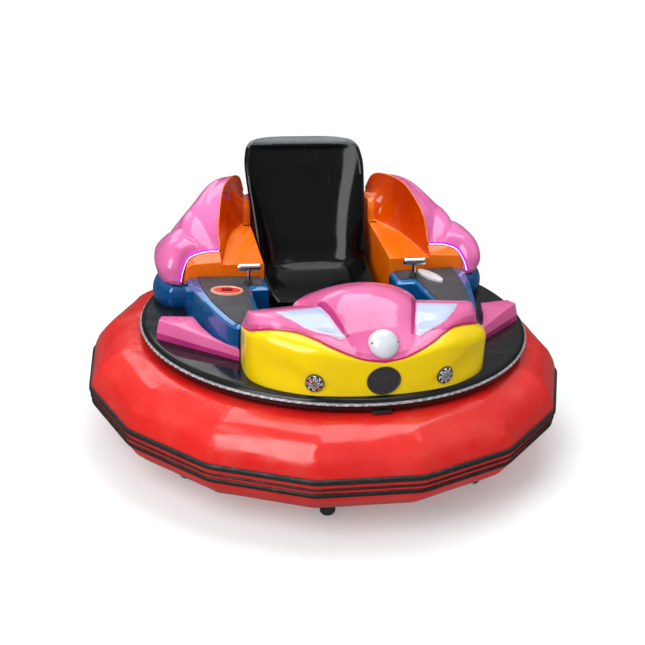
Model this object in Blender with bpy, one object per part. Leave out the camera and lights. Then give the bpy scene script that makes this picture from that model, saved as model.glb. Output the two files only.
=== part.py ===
"""Round inflatable-ring bumper car for one rider, in metres, +Z up, facing -Y.

The frame's origin is on the floor under the middle of the inflatable ring.
The body sits a little to one side of that, by BODY_SHIFT, as pictured.
Heights of the body's pieces are counted from the deck's top.
"""

import math

import bmesh
import bpy
import numpy as np
from mathutils import Vector

for old in list(bpy.data.objects):
    bpy.data.objects.remove(old)

GAP = 0.0003
BODY_SHIFT = Vector((0.0247, -0.0046, 0.0))

# Foot well
TUB_X = 0.232
TUB_FRONT = -0.42
TUB_BACK = 0.10
TUB_WALL = 0.005

# Chassis
BEAM_OUTER_R = math.hypot(TUB_X, TUB_FRONT) + 0.020
BEAM_WIDTH = 0.070
CROSS_TOP = 0.140
POST_X = 0.375
POST_Y = 0.25

# Casters
CASTER_COUNT = 8
CASTER_WHEEL_R = 0.025
CASTER_TRAIL = 0.022
FORK_TOP = 2 * CASTER_WHEEL_R + 0.010
ARM_Z = FORK_TOP + 0.0055
ARM_T = 0.0082
ARM_TOP = ARM_Z + ARM_T

# Inflatable ring
RING_SIDES = 16
RING_TURN = math.radians(-14.31)
RING_HALF_WIDTH = 0.17
RING_HALF_HEIGHT = 0.148
RING_MID_R = BEAM_OUTER_R + 0.010 + RING_HALF_WIDTH
RING_Z = ARM_TOP + GAP + RING_HALF_HEIGHT
CASTER_R = RING_MID_R - 0.020

# Deck
RIM_R = 0.024
DECK_R = 0.663
DECK_T = 0.010
RIM_Z = RING_Z + RING_HALF_HEIGHT + 0.0055 + RIM_R
DECK_TOP = RIM_Z + RIM_R
BASE = DECK_TOP + GAP

# Drive wheels
DRIVE_R = 0.090
DRIVE_Y = 0.10
DRIVE_INNER_X = TUB_X + 0.073
DRIVE_OUTER_X = DRIVE_INNER_X + 0.050
AXLE_R = 0.014
MOTOR_INNER_X = 0.1703
MOTOR_OUTER_X = 0.262
MOTOR_HALF = 0.045

COLOURS = {
    "red_pvc": (0.74, 0.04, 0.03),
    "black_rubber": (0.02, 0.02, 0.02),
    "black_gloss": (0.01, 0.01, 0.012),
    "clear_light": (0.75, 0.78, 0.80),
    "steel": (0.16, 0.16, 0.17),
    "dark_block": (0.06, 0.06, 0.07),
    "pink": (0.85, 0.28, 0.55),
    "yellow": (0.87, 0.61, 0.0),
    "white": (0.85, 0.85, 0.85),
    "blue": (0.0, 0.08, 0.32),
    "console_grey": (0.09, 0.09, 0.10),
    "orange": (0.90, 0.21, 0.0),
    "chrome": (0.80, 0.80, 0.80),
    "seat_black": (0.005, 0.006, 0.008),
}
ROUGHNESS = {"black_rubber": 0.7, "dark_block": 0.6, "console_grey": 0.6, "steel": 0.4, "chrome": 0.08}
METALLIC = {"steel": 0.6, "chrome": 1.0}


def material(name):
    found = bpy.data.materials.get(name)
    if found:
        return found
    made = bpy.data.materials.new(name)
    made.use_nodes = True
    shader = made.node_tree.nodes["Principled BSDF"]
    shader.inputs["Base Color"].default_value = (*COLOURS[name], 1.0)
    shader.inputs["Roughness"].default_value = ROUGHNESS.get(name, 0.2)
    shader.inputs["Metallic"].default_value = METALLIC.get(name, 0.0)
    made.diffuse_color = (*COLOURS[name], 1.0)
    return made


def mesh_object(name, verts, faces, colour=None, origin=(0, 0, 0)):
    origin = Vector(origin)
    mesh = bpy.data.meshes.new(name)
    mesh.from_pydata([tuple(Vector(v) - origin) for v in verts], [], faces)
    work = bmesh.new()
    work.from_mesh(mesh)
    bmesh.ops.recalc_face_normals(work, faces=work.faces)
    if work.calc_volume(signed=True) < 0:
        bmesh.ops.reverse_faces(work, faces=work.faces)
    work.to_mesh(mesh)
    work.free()
    mesh.shade_smooth()
    mesh.set_sharp_from_angle(angle=math.radians(35))
    obj = bpy.data.objects.new(name, mesh)
    bpy.context.scene.collection.objects.link(obj)
    obj.location = origin
    if colour:
        mesh.materials.append(material(colour))
    return obj


def helper(obj):
    obj.hide_render = True
    obj.display_type = "WIRE"
    return obj


def boolean(obj, other, operation):
    step = obj.modifiers.new(operation.lower(), "BOOLEAN")
    step.operation = operation
    step.solver = "EXACT"
    step.object = helper(other)
    return obj


def unite(obj, *others):
    for other in others:
        boolean(obj, other, "UNION")
    return obj


def cut(obj, *others):
    for other in others:
        boolean(obj, other, "DIFFERENCE")
    return obj


def loops(name, sections, colour=None, origin=(0, 0, 0), closed=False):
    """A solid through a row of loops with equal counts; the ends are capped unless the row closes."""
    count = len(sections[0])
    verts = [p for section in sections for p in section]
    faces = []
    last = len(sections) if closed else len(sections) - 1
    for i in range(last):
        a, b = i * count, ((i + 1) % len(sections)) * count
        for j in range(count):
            k = (j + 1) % count
            faces.append((a + j, a + k, b + k, b + j))
    if not closed:
        faces.append(tuple(range(count)))
        faces.append(tuple(range(len(verts) - count, len(verts))))
    return mesh_object(name, verts, faces, colour, origin)


def shell(name, outer, inner, colour=None):
    """A skin between two grids of points of the same size, closed round its border."""
    rows, columns = len(outer), len(outer[0])
    verts = [p for row in outer for p in row] + [p for row in inner for p in row]
    step = rows * columns
    faces = []
    for i in range(rows - 1):
        for j in range(columns - 1):
            a = i * columns + j
            quad = (a, a + 1, a + columns + 1, a + columns)
            faces.append(quad)
            faces.append(tuple(v + step for v in reversed(quad)))
    border = [j for j in range(columns)]
    border += [i * columns + columns - 1 for i in range(1, rows)]
    border += [(rows - 1) * columns + j for j in range(columns - 2, -1, -1)]
    border += [i * columns for i in range(rows - 2, 0, -1)]
    for a, b in zip(border, border[1:] + border[:1]):
        faces.append((a, a + step, b + step, b))
    return mesh_object(name, verts, faces, colour)


def lathe(name, profile, sides, colour=None, origin=(0, 0, 0), axis="Z", centre=(0, 0, 0)):
    """Turns a closed profile of (radius, height) round an axis. A radius of 0 is a pole."""
    verts = []
    index = []
    for i in range(sides):
        angle = 2 * math.pi * i / sides
        c, s = math.cos(angle), math.sin(angle)
        row = []
        for j, (r, h) in enumerate(profile):
            if r == 0 and i > 0:
                row.append(index[0][j])
                continue
            local = Vector((r * c, r * s, h)) if axis == "Z" else Vector((h, r * c, r * s))
            row.append(len(verts))
            verts.append(local + Vector(centre))
        index.append(row)
    faces = []
    for i in range(sides):
        a, b = index[i], index[(i + 1) % sides]
        for j in range(len(profile)):
            k = (j + 1) % len(profile)
            corner = list(dict.fromkeys((a[j], a[k], b[k], b[j])))
            if len(corner) > 2:
                faces.append(tuple(corner))
    return mesh_object(name, verts, faces, colour, origin)


def box(name, low, high, colour=None, origin=(0, 0, 0)):
    (x0, y0, z0), (x1, y1, z1) = low, high
    bottom = [(x0, y0, z0), (x1, y0, z0), (x1, y1, z0), (x0, y1, z0)]
    top = [(x, y, z1) for x, y, z in bottom]
    return loops(name, [bottom, top], colour, origin)


def side_box(name, sign, low, high, colour=None):
    """A box given for +X, placed on the side that sign says."""
    x0, x1 = sorted((sign * low[0], sign * high[0]))
    return box(name, (x0, *low[1:]), (x1, *high[1:]), colour)


def smooth(points, steps):
    """A Catmull-Rom line through the points, ends included."""
    pts = [np.array(p, float) for p in points]
    pts = [2 * pts[0] - pts[1], *pts, 2 * pts[-1] - pts[-2]]
    out = []
    for i in range(1, len(pts) - 2):
        p0, p1, p2, p3 = pts[i - 1 : i + 3]
        for j in range(steps):
            t = j / steps
            linear = 2 * p1 + (p2 - p0) * t
            square = (2 * p0 - 5 * p1 + 4 * p2 - p3) * t * t
            cube = (3 * p1 - p0 - 3 * p2 + p3) * t**3
            out.append(0.5 * (linear + square + cube))
    out.append(pts[-2])
    return out


def patch(rows, row_steps, point_steps):
    """A smooth grid through rows of control points."""
    fine = [smooth(row, point_steps) for row in rows]
    columns = [smooth(column, row_steps) for column in zip(*fine)]
    return [list(row) for row in zip(*columns)]


def mirrored(points, sign):
    return [(sign * p[0], p[1], p[2]) for p in points]


def inward(line, distance):
    """The plan line moved to its left by the distance; heights are kept."""
    out = []
    for i, p in enumerate(line):
        before, after = line[max(i - 1, 0)], line[min(i + 1, len(line) - 1)]
        along = Vector((after[0] - before[0], after[1] - before[1])).normalized()
        out.append((p[0] - along.y * distance, p[1] + along.x * distance, *p[2:]))
    return out


def both(build):
    """Builds a left (-X) and a right (+X) copy."""
    for label, sign in (("left", -1), ("right", 1)):
        build(label, sign)


# Ring

RING_POINTS = 48
# name, lower and upper height from the ring's middle, thickness
STRAKES = (
    ("ring_strake_upper", -0.0010, 0.0243, 0.009),
    ("ring_strake_middle", -0.0190, -0.0110, 0.005),
    ("ring_strake_lower", -0.0460, -0.0300, 0.006),
)
# thickness over the strake's width, as a share
STRAKE_SHAPE = (0.35, 0.85, 1.0, 0.85, 0.35)


def ring_point(r, z, i):
    angle = RING_TURN - math.pi / 2 + 2 * math.pi * i / RING_SIDES
    return (r * math.cos(angle), r * math.sin(angle), z)


def ring_skin(angle, out=0.0):
    """A point (radius, height) of the ring's section, moved outwards by out."""
    c, s = math.cos(angle), math.sin(angle)
    normal = Vector((c / RING_HALF_WIDTH, s / RING_HALF_HEIGHT)).normalized()
    return (
        RING_MID_R + RING_HALF_WIDTH * c + out * normal.x,
        RING_Z + RING_HALF_HEIGHT * s + out * normal.y,
    )


def ring_body(name, profile, colour):
    sections = [[ring_point(r, z, i) for r, z in profile] for i in range(RING_SIDES)]
    loops(name, sections, colour, closed=True)


def build_ring():
    tube = [ring_skin(2 * math.pi * j / RING_POINTS) for j in range(RING_POINTS)]
    ring_body("ring_tube", tube, "red_pvc")
    for name, low, high, thick in STRAKES:
        a0 = math.asin(low / RING_HALF_HEIGHT)
        a1 = math.asin(high / RING_HALF_HEIGHT)
        angles = [a0 + (a1 - a0) * t / 4 for t in range(5)]
        outer = [ring_skin(a, thick * share) for a, share in zip(angles, STRAKE_SHAPE)]
        inner = [ring_skin(a, GAP) for a in reversed(angles)]
        ring_body(name, outer + inner, "black_rubber")


# Deck and foot well

DECK_SIDES = 80
GROOVE_HALF = 0.005
GROOVE_DEPTH = 0.004


def build_deck():
    outer = DECK_R + RIM_R
    rim = []
    for j in range(9):
        angle = math.radians(90 - 22.5 * j)
        rim.append((DECK_R + RIM_R * math.cos(angle), RIM_Z + RIM_R * math.sin(angle)))
    rim[4:5] = [
        (outer - 0.0002, RIM_Z + GROOVE_HALF),
        (outer - GROOVE_DEPTH, RIM_Z + GROOVE_HALF),
        (outer - GROOVE_DEPTH, RIM_Z - GROOVE_HALF),
        (outer - 0.0002, RIM_Z - GROOVE_HALF),
    ]
    under = DECK_TOP - DECK_T
    lip = DECK_R - 0.020
    deck = lathe(
        "deck",
        [(0, DECK_TOP), *rim, (lip, RIM_Z - RIM_R), (lip, under), (0, under)],
        DECK_SIDES,
        "black_gloss",
    )
    hole = box(
        "deck_hole",
        (-TUB_X - GAP, TUB_FRONT - GAP, under - 0.01),
        (TUB_X + GAP, TUB_BACK + GAP, DECK_TOP + 0.01),
    )
    cut(deck, hole)
    inside = outer - GROOVE_DEPTH + GAP
    face = outer + 0.003
    half = GROOVE_HALF - GAP
    bezel = 0.002
    lathe(
        "rim_light",
        [
            (inside, RIM_Z - half),
            (face - bezel, RIM_Z - half),
            (face, RIM_Z - half + bezel),
            (face, RIM_Z + half - bezel),
            (face - bezel, RIM_Z + half),
            (inside, RIM_Z + half),
        ],
        DECK_SIDES,
        "clear_light",
    )


def build_tub():
    low = CROSS_TOP + GAP
    tub = box("tub", (-TUB_X, TUB_FRONT, low), (TUB_X, TUB_BACK, DECK_TOP), "dark_block")
    hollow = box(
        "tub_hollow",
        (-TUB_X + TUB_WALL, TUB_FRONT + TUB_WALL, low + TUB_WALL),
        (TUB_X - TUB_WALL, TUB_BACK - TUB_WALL, DECK_TOP + 0.05),
    )
    cut(tub, hollow)


# Chassis, battery and drive

RAIL_X = 0.15
RAIL_HALF = 0.02
RAIL_TOP = 0.115
CROSS_Y = 0.34
TIE_HALF = 0.42
TIE_TOP = 0.095
BATTERY_X = 0.125
BATTERY_FRONT = TUB_BACK + 0.025
BATTERY_BACK = CROSS_Y - 0.025
BATTERY_TOP = 0.29
# keeps the faces of united bars apart
STAGGER = 0.0002


def caster_angles():
    step = 360 / CASTER_COUNT
    return [math.radians(-90 - step / 4 + step * i) for i in range(CASTER_COUNT)]


def build_arm(number, angle):
    arm = box(
        f"arm_{number}",
        (BEAM_OUTER_R - BEAM_WIDTH / 2, -0.022, ARM_Z + STAGGER),
        (RING_MID_R - 0.002, 0.022, ARM_TOP - STAGGER / 2),
    )
    arm.rotation_euler = (0, 0, angle)
    return arm


def build_chassis():
    inner = BEAM_OUTER_R - BEAM_WIDTH
    beam = [(inner, ARM_Z), (BEAM_OUTER_R, ARM_Z), (BEAM_OUTER_R, ARM_TOP), (inner, ARM_TOP)]
    plate = lathe("chassis", beam, 48, "steel")
    pieces = [build_arm(i, angle) for i, angle in enumerate(caster_angles())]
    rail_end = BEAM_OUTER_R - 0.045
    for sign in (-1, 1):
        x = sign * RAIL_X
        low, high = (x - RAIL_HALF, -rail_end, ARM_Z), (x + RAIL_HALF, rail_end, RAIL_TOP)
        pieces.append(box(f"rail_{sign}", low, high))
        for y in (-POST_Y, POST_Y):
            low = ((POST_X - 0.015), y - 0.015, ARM_Z)
            high = ((POST_X + 0.015), y + 0.015, DECK_TOP - DECK_T - GAP)
            pieces.append(side_box(f"post_{sign}_{y}", sign, low, high))
    for y in (-CROSS_Y, CROSS_Y):
        low, high = (-0.30, y - 0.02, ARM_Z + 4 * STAGGER), (0.30, y + 0.02, CROSS_TOP)
        pieces.append(box(f"cross_{y}", low, high))
    for y in (-POST_Y, POST_Y):
        low, high = (-TIE_HALF, y - 0.014, ARM_Z + 3 * STAGGER), (TIE_HALF, y + 0.014, TIE_TOP)
        pieces.append(box(f"tie_{y}", low, high))
    tray_low = (-BATTERY_X - 0.015, BATTERY_FRONT - 0.010, ARM_Z + 2 * STAGGER)
    tray_high = (BATTERY_X + 0.015, BATTERY_BACK + 0.010, TIE_TOP + STAGGER)
    pieces.append(box("tray", tray_low, tray_high))
    unite(plate, *pieces)
    box(
        "battery",
        (-BATTERY_X, BATTERY_FRONT, TIE_TOP + STAGGER + GAP),
        (BATTERY_X, BATTERY_BACK, BATTERY_TOP),
        "dark_block",
    )


def build_drive(label, sign):
    side_box(
        f"drive_motor_{label}",
        sign,
        (MOTOR_INNER_X, DRIVE_Y - MOTOR_HALF, DRIVE_R - MOTOR_HALF),
        (MOTOR_OUTER_X, DRIVE_Y + MOTOR_HALF, DRIVE_R + MOTOR_HALF),
        "dark_block",
    )
    half = (DRIVE_OUTER_X - DRIVE_INNER_X) / 2
    mid = (DRIVE_OUTER_X + DRIVE_INNER_X) / 2
    stub = mid - MOTOR_OUTER_X - 0.0005
    web = 0.055
    tread = 0.080
    profile = [
        (0, -stub),
        (AXLE_R, -stub),
        (AXLE_R, -half + 0.004),
        (web, -half + 0.004),
        (web + 0.005, -half),
        (tread, -half),
        (DRIVE_R - 0.001, -half + 0.008),
        (DRIVE_R, 0),
        (DRIVE_R - 0.001, half - 0.008),
        (tread, half),
        (web + 0.005, half),
        (web, half - 0.006),
        (0.022, half - 0.006),
        (0.018, half),
        (0, half),
    ]
    profile = [(r, sign * h) for r, h in profile]
    centre = (sign * mid, DRIVE_Y, DRIVE_R)
    lathe(f"drive_wheel_{label}", profile, 40, "black_rubber", origin=centre, axis="X", centre=centre)


# Direction from pivot to wheel in degrees, from the outward radius, one for each caster
CASTER_HEADINGS = (-90, 90, 60, -75, 90, -90, 75, -60)
STEM_R = 0.010
LEG_INNER = 0.0155
LEG_T = 0.003
LEG_HALF = 0.0105


def build_caster(number, angle, heading):
    pivot = Vector((CASTER_R * math.cos(angle), CASTER_R * math.sin(angle), 0))
    facing = angle + math.radians(heading)
    c, s = math.cos(facing), math.sin(facing)

    def at(along, across, z):
        return (pivot.x + along * c - across * s, pivot.y + along * s + across * c, z)

    def block(name, along, across, heights, colour=None, origin=(0, 0, 0)):
        (a0, a1), (b0, b1) = along, across
        corners = ((a0, b0), (a1, b0), (a1, b1), (a0, b1))
        return loops(name, [[at(a, b, z) for a, b in corners] for z in heights], colour, origin)

    leg_outer = LEG_INNER + LEG_T
    plate_half = leg_outer + 0.001
    fork = block(
        f"caster_fork_{number}",
        (-0.016, CASTER_TRAIL + 0.010),
        (-plate_half, plate_half),
        (FORK_TOP - 0.004, FORK_TOP),
        "steel",
        origin=(pivot.x, pivot.y, FORK_TOP),
    )
    top, bottom = ARM_Z - GAP, FORK_TOP - 0.002
    stem = lathe(
        f"caster_stem_{number}",
        [(0, bottom), (STEM_R, bottom), (STEM_R, top), (0, top)],
        16,
        centre=(pivot.x, pivot.y, 0),
    )
    legs = []
    for side in (-1, 1):
        legs.append(
            block(
                f"caster_leg_{number}_{side}",
                (CASTER_TRAIL - LEG_HALF, CASTER_TRAIL + LEG_HALF - 0.002),
                sorted((side * LEG_INNER, side * leg_outer)),
                (CASTER_WHEEL_R - 0.009, FORK_TOP - 0.001),
            )
        )
    unite(fork, stem, *legs)
    hub = LEG_INNER - GAP
    stub_r = 0.005
    profile = [
        (0, -hub),
        (stub_r, -hub),
        (stub_r, -0.010),
        (CASTER_WHEEL_R - 0.003, -0.010),
        (CASTER_WHEEL_R, -0.007),
        (CASTER_WHEEL_R, 0.007),
        (CASTER_WHEEL_R - 0.003, 0.010),
        (stub_r, 0.010),
        (stub_r, hub),
        (0, hub),
    ]
    wheel = lathe(f"caster_wheel_{number}", profile, 24, "black_rubber", axis="X")
    wheel.location = at(CASTER_TRAIL, 0, CASTER_WHEEL_R)
    wheel.rotation_euler = (0, 0, facing + math.pi / 2)


# Nose band and hood

# x, y at the foot, height of the top edge over the deck, how far the top edge leans back
NOSE_STATIONS = (
    (0.000, -0.662, 0.1075, 0.004),
    (0.060, -0.661, 0.1165, 0.006),
    (0.110, -0.656, 0.1315, 0.012),
    (0.160, -0.648, 0.1495, 0.022),
    (0.205, -0.637, 0.1645, 0.036),
    (0.255, -0.617, 0.1705, 0.050),
    (0.305, -0.588, 0.1645, 0.055),
    (0.345, -0.556, 0.1535, 0.052),
    (0.375, -0.516, 0.1395, 0.042),
    (0.389, -0.470, 0.1275, 0.030),
    (0.392, -0.420, 0.1155, 0.024),
    (0.391, -0.369, 0.1065, 0.020),
)
NOSE_STEPS = 2
NOSE_WALL = 0.008
NOSE_ROUND = (0.0, 20.0, 40.0, 60.0)
HOOD_SKIN = 0.006


def nose_line():
    """The foot of the nose band from the left end to the right, with its top height and lean."""
    right = smooth(NOSE_STATIONS, NOSE_STEPS)
    left = [(-p[0], *p[1:]) for p in reversed(right[1:])]
    return left + [tuple(p) for p in right]


def nose_rise(top, lean):
    """(lean, height) up the band's face: straight, then rounded back to the top edge."""
    round_height = 0.9 * lean + 0.004
    last = math.radians(NOSE_ROUND[-1])
    out = [(0.0, 0.0)]
    for degrees in NOSE_ROUND:
        angle = math.radians(degrees)
        back = lean * (1 - math.cos(angle)) / (1 - math.cos(last))
        up = top - round_height + round_height * math.sin(angle) / math.sin(last)
        out.append((back, up))
    return out


def nose_grid(wall):
    """Points of the band's face, moved inwards by the wall."""
    line = nose_line()
    levels = []
    for k in range(len(NOSE_ROUND) + 1):
        moved = []
        for i, p in enumerate(line):
            back, up = nose_rise(p[2], p[3])[k]
            moved.append((inward(line, back + wall)[i][:2], up))
        levels.append([(x, y, BASE + up) for (x, y), up in moved])
    return levels


def build_nose():
    shell("nose_fascia", nose_grid(0.0), nose_grid(NOSE_WALL), "yellow")


# Height of the shoulders over the deck against y
SHOULDER_LINE = (
    (-0.670, 0.106),
    (-0.600, 0.168),
    (-0.550, 0.190),
    (-0.500, 0.209),
    (-0.460, 0.216),
    (-0.420, 0.213),
    (-0.360, 0.193),
    (-0.300, 0.168),
    (-0.250, 0.145),
)
# Height of the middle dome over the shoulders against y
DOME_LINE = (
    (-0.670, 0.000),
    (-0.630, 0.004),
    (-0.600, 0.010),
    (-0.550, 0.024),
    (-0.500, 0.032),
    (-0.440, 0.042),
    (-0.390, 0.052),
    (-0.330, 0.060),
    (-0.270, 0.056),
)
SHOULDER_FALL = 0.06
DOME_NARROW = 0.090
DOME_SPREAD = 0.33
DOME_FRONT_Y = -0.645
EDGE_ROLL = 0.075
# The hood's rear edge from the middle to the right corner: x, y
HOOD_REAR = ((0.000, -0.262), (0.120, -0.270), (0.215, -0.285), (0.300, -0.300), (0.352, -0.325), (0.368, -0.352))
HOOD_ROWS = 9


def from_table(table, value):
    return float(np.interp(value, [row[0] for row in table], [row[1] for row in table]))


def dome_half(y):
    return DOME_NARROW + DOME_SPREAD * (y - DOME_FRONT_Y)


def hood_surface(x, y):
    """Height over the deck before the hood's edge is rolled down to the nose band."""
    shoulder = from_table(SHOULDER_LINE, y) - SHOULDER_FALL * abs(x)
    share = abs(x) / dome_half(y)
    dome = from_table(DOME_LINE, y) * (1 - share**2.6) ** 0.7 if share < 1 else 0.0
    return shoulder + dome


def hood_front():
    """The nose band's top edge in plan, which carries the hood: x, y, height."""
    line = nose_line()
    out = []
    for i, p in enumerate(line):
        x, y = inward(line, p[3])[i][:2]
        out.append((x, y, p[2] + GAP))
    return out


def hood_back():
    """The rear edge, one point for each point of the front edge."""
    right = smooth(HOOD_REAR, 8)
    line = [(-p[0], p[1]) for p in reversed(right[1:])] + [(p[0], p[1]) for p in right]
    lengths = np.cumsum([0] + [math.dist(a, b) for a, b in zip(line, line[1:])])
    front = hood_front()
    shares = np.cumsum([0] + [math.dist(a[:2], b[:2]) for a, b in zip(front, front[1:])])
    at = shares / shares[-1] * lengths[-1]
    xs = np.interp(at, lengths, [p[0] for p in line])
    ys = np.interp(at, lengths, [p[1] for p in line])
    return list(zip(xs, ys))


def hood_grid(rise):
    """Rows of points from the front edge to the rear one, with the height moved by rise."""
    front, back = hood_front(), hood_back()
    rows = []
    for k in range(HOOD_ROWS):
        share = (k / (HOOD_ROWS - 1)) ** 1.5
        row = []
        for (fx, fy, top), (bx, by) in zip(front, back):
            x, y = fx + (bx - fx) * share, fy + (by - fy) * share
            away = min(1.0, math.dist((x, y), (fx, fy)) / EDGE_ROLL)
            roll = hood_surface(fx, fy) - top - HOOD_SKIN
            roll *= (1 - away) ** (3 if roll > 0 else 1.5)
            row.append((x, y, BASE + hood_surface(x, y) - roll + rise))
        rows.append(row)
    return rows


def build_hood():
    shell("hood", hood_grid(0.0), hood_grid(-HOOD_SKIN), "pink")


def disc(name, centre, normal, profile, sides, colour):
    """A turned piece whose axis runs along the normal from the centre."""
    obj = lathe(name, profile, sides, colour)
    obj.location = centre
    obj.rotation_mode = "QUATERNION"
    obj.rotation_quaternion = Vector((0, 0, 1)).rotation_difference(Vector(normal))
    return obj


def nose_face(x, reach):
    """y and outward normal of the band's foot at x, over a chord that reaches to both sides."""
    right = [p for p in nose_line() if p[0] > 0]
    xs, ys = [p[0] for p in right], [p[1] for p in right]
    behind, y, ahead = (float(np.interp(at, xs, ys)) for at in (x - reach, x, x + reach))
    along = Vector((2 * reach, ahead - behind)).normalized()
    return y, (along.y, -along.x)


LAMP_R = 0.044
LAMP_AT = (0, -0.6215, 0.1520)
LAMP_FACES = (0, -0.75, 0.66)
DISC_R = 0.046
DISC_HEIGHT = 0.048
CAP_R = 0.028
CAP_X = 0.206
CAP_HEIGHT = 0.037
CAP_LIFT = 0.0006


def build_nose_fittings():
    x, y, height = LAMP_AT
    lamp = disc(
        "dome_lamp",
        (x, y, BASE + height),
        LAMP_FACES,
        [
            (0, -0.030),
            (LAMP_R - 0.002, -0.030),
            (LAMP_R, 0.004),
            (LAMP_R - 0.005, 0.016),
            (LAMP_R - 0.016, 0.024),
            (LAMP_R - 0.030, 0.029),
            (0, 0.031),
        ],
        32,
        "white",
    )
    cut(lamp, shell("lamp_seat", hood_grid(2 * GAP), hood_grid(-0.09)))
    disc(
        "nose_disc",
        (0, NOSE_STATIONS[0][1] - GAP, BASE + DISC_HEIGHT),
        (0, -1, 0),
        [(0, 0), (DISC_R, 0), (DISC_R, 0.002), (DISC_R - 0.003, 0.004), (0, 0.004)],
        40,
        "console_grey",
    )

    def cap(label, sign):
        foot, normal = nose_face(CAP_X, CAP_R)
        disc(
            f"nose_cap_{label}",
            (sign * CAP_X, foot - CAP_LIFT, BASE + CAP_HEIGHT),
            (sign * normal[0], normal[1], 0),
            [(0, 0), (CAP_R, 0), (CAP_R, 0.003), (CAP_R - 0.008, 0.007), (0, 0.009)],
            32,
            "white",
        )

    both(cap)


# Side pods and consoles

POD_INNER_X = TUB_X + 0.0105
PLATE_T = 0.006
STRIP_DROP = 0.012
POD_REAR_TOP = 0.085
WING_FOOT = BASE + POD_REAR_TOP
# Foot x, y; top edge x, y; corner of the console plate x, y
POD_STATIONS = (
    (POD_INNER_X, 0.117, POD_INNER_X, 0.117, 0.2485, 0.112),
    (POD_INNER_X, 0.000, POD_INNER_X, 0.000, 0.2485, 0.008),
    (0.300, -0.008, 0.300, -0.008, 0.307, 0.002),
    (0.305, -0.185, 0.305, -0.185, 0.312, -0.183),
    (0.348, -0.285, 0.348, -0.285, 0.353, -0.270),
    (0.394, -0.330, 0.393, -0.328, 0.388, -0.305),
    (0.424, -0.318, 0.412, -0.316, 0.400, -0.295),
    (0.464, -0.265, 0.437, -0.265, 0.416, -0.251),
    (0.490, -0.200, 0.458, -0.195, 0.438, -0.195),
    (0.512, -0.112, 0.479, -0.112, 0.464, -0.112),
    (0.536, -0.017, 0.504, -0.017, 0.484, -0.015),
    (0.554, 0.070, 0.516, 0.070, 0.499, 0.070),
    (0.560, 0.117, 0.519, 0.117, 0.503, 0.112),
)
# Outline of the pod under the wing: x, y
SKIRT_OUTLINE = (
    (POD_INNER_X, 0.105),
    (0.556, 0.105),
    (0.582, 0.118),
    (0.608, 0.150),
    (0.624, 0.200),
    (0.620, 0.260),
    (0.597, 0.322),
    (0.555, 0.387),
    (0.500, 0.447),
    (0.430, 0.508),
    (0.340, 0.565),
    (POD_INNER_X, 0.602),
)
# Height over the deck and how far the skirt stands out from its outline
SKIRT_SHAPE = ((0.0, 0.0), (0.020, 0.006), (0.050, 0.004), (0.072, -0.006), (POD_REAR_TOP, -0.020))


def plate_height(x):
    """Height of the console plate over the deck; it falls toward the rider."""
    return 0.1065 + 0.14 * (abs(x) - 0.310)


def inset(outline, distance):
    """The closed outline moved inwards; it runs anticlockwise."""
    out = []
    for i, p in enumerate(outline):
        here = Vector(p)
        before = (here - Vector(outline[i - 1])).normalized()
        after = (Vector(outline[(i + 1) % len(outline)]) - here).normalized()
        normals = Vector((-before.y, before.x)), Vector((-after.y, after.x))
        mid = (normals[0] + normals[1]).normalized()
        out.append(tuple(here + mid * distance / max(0.5, mid.dot(normals[1]))))
    return out


def build_pod(label, sign):
    foot, edge, top = [], [], []
    for foot_x, foot_y, edge_x, edge_y, plate_x, plate_y in POD_STATIONS:
        foot.append((foot_x, foot_y, BASE))
        edge.append((edge_x, edge_y, BASE + plate_height(edge_x) - STRIP_DROP))
        top.append((plate_x, plate_y, BASE + plate_height(plate_x) - PLATE_T - GAP))
    pod = loops(f"side_pod_{label}", [mirrored(row, sign) for row in (foot, edge, top)], "blue")
    rows = []
    for height, out in SKIRT_SHAPE:
        row = [(max(x, POD_INNER_X), y, BASE + height) for x, y in inset(SKIRT_OUTLINE, -out)]
        rows.append(mirrored(row, sign))
    unite(pod, loops(f"skirt_{label}", rows))


def build_console(label, sign):
    outline = [(row[4], row[5]) for row in POD_STATIONS]
    levels = []
    for drop in (PLATE_T, 0.0):
        levels.append([(sign * x, y, BASE + plate_height(x) - drop) for x, y in outline])
    loops(f"console_{label}", levels, "console_grey")


HANDLE_X, HANDLE_Y = 0.305, 0.040
GRIP_R = 0.014
GRIP_HALF = 0.041
GRIP_RISE = 0.047


def build_handle(label, sign):
    plate = BASE + plate_height(HANDLE_X)
    foot_r = 0.018
    low = plate + 0.14 * foot_r + GAP
    grip_z = plate + GRIP_RISE + GRIP_R
    stem = lathe(
        f"handle_{label}",
        [(0, low), (foot_r, low), (foot_r, low + 0.005), (0.009, low + 0.010), (0.007, grip_z), (0, grip_z)],
        20,
        "chrome",
        centre=(sign * HANDLE_X, HANDLE_Y, 0),
    )
    half, chamfer = GRIP_HALF, 0.005
    grip = lathe(
        f"grip_{label}",
        [
            (0, -half),
            (GRIP_R - 0.003, -half),
            (GRIP_R, -half + chamfer),
            (GRIP_R, half - chamfer),
            (GRIP_R - 0.003, half),
            (0, half),
        ],
        20,
        axis="X",
        centre=(sign * HANDLE_X, HANDLE_Y, grip_z),
    )
    unite(stem, grip)


def plate_oval(name, centre, half_long, half_short, turn, height, colour):
    """A low oval boss on the console plate, its long axis turned from X."""
    rows = []
    c, s = math.cos(turn), math.sin(turn)
    for rise, shrink in ((GAP, 1.0), (height * 0.7, 1.0), (height, 0.9)):
        row = []
        for i in range(28):
            angle = 2 * math.pi * i / 28
            along, across = half_long * shrink * math.cos(angle), half_short * shrink * math.sin(angle)
            x = centre[0] + along * c - across * s
            y = centre[1] + along * s + across * c
            row.append((x, y, BASE + plate_height(x) + rise))
        rows.append(row)
    loops(name, rows, colour)


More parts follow.
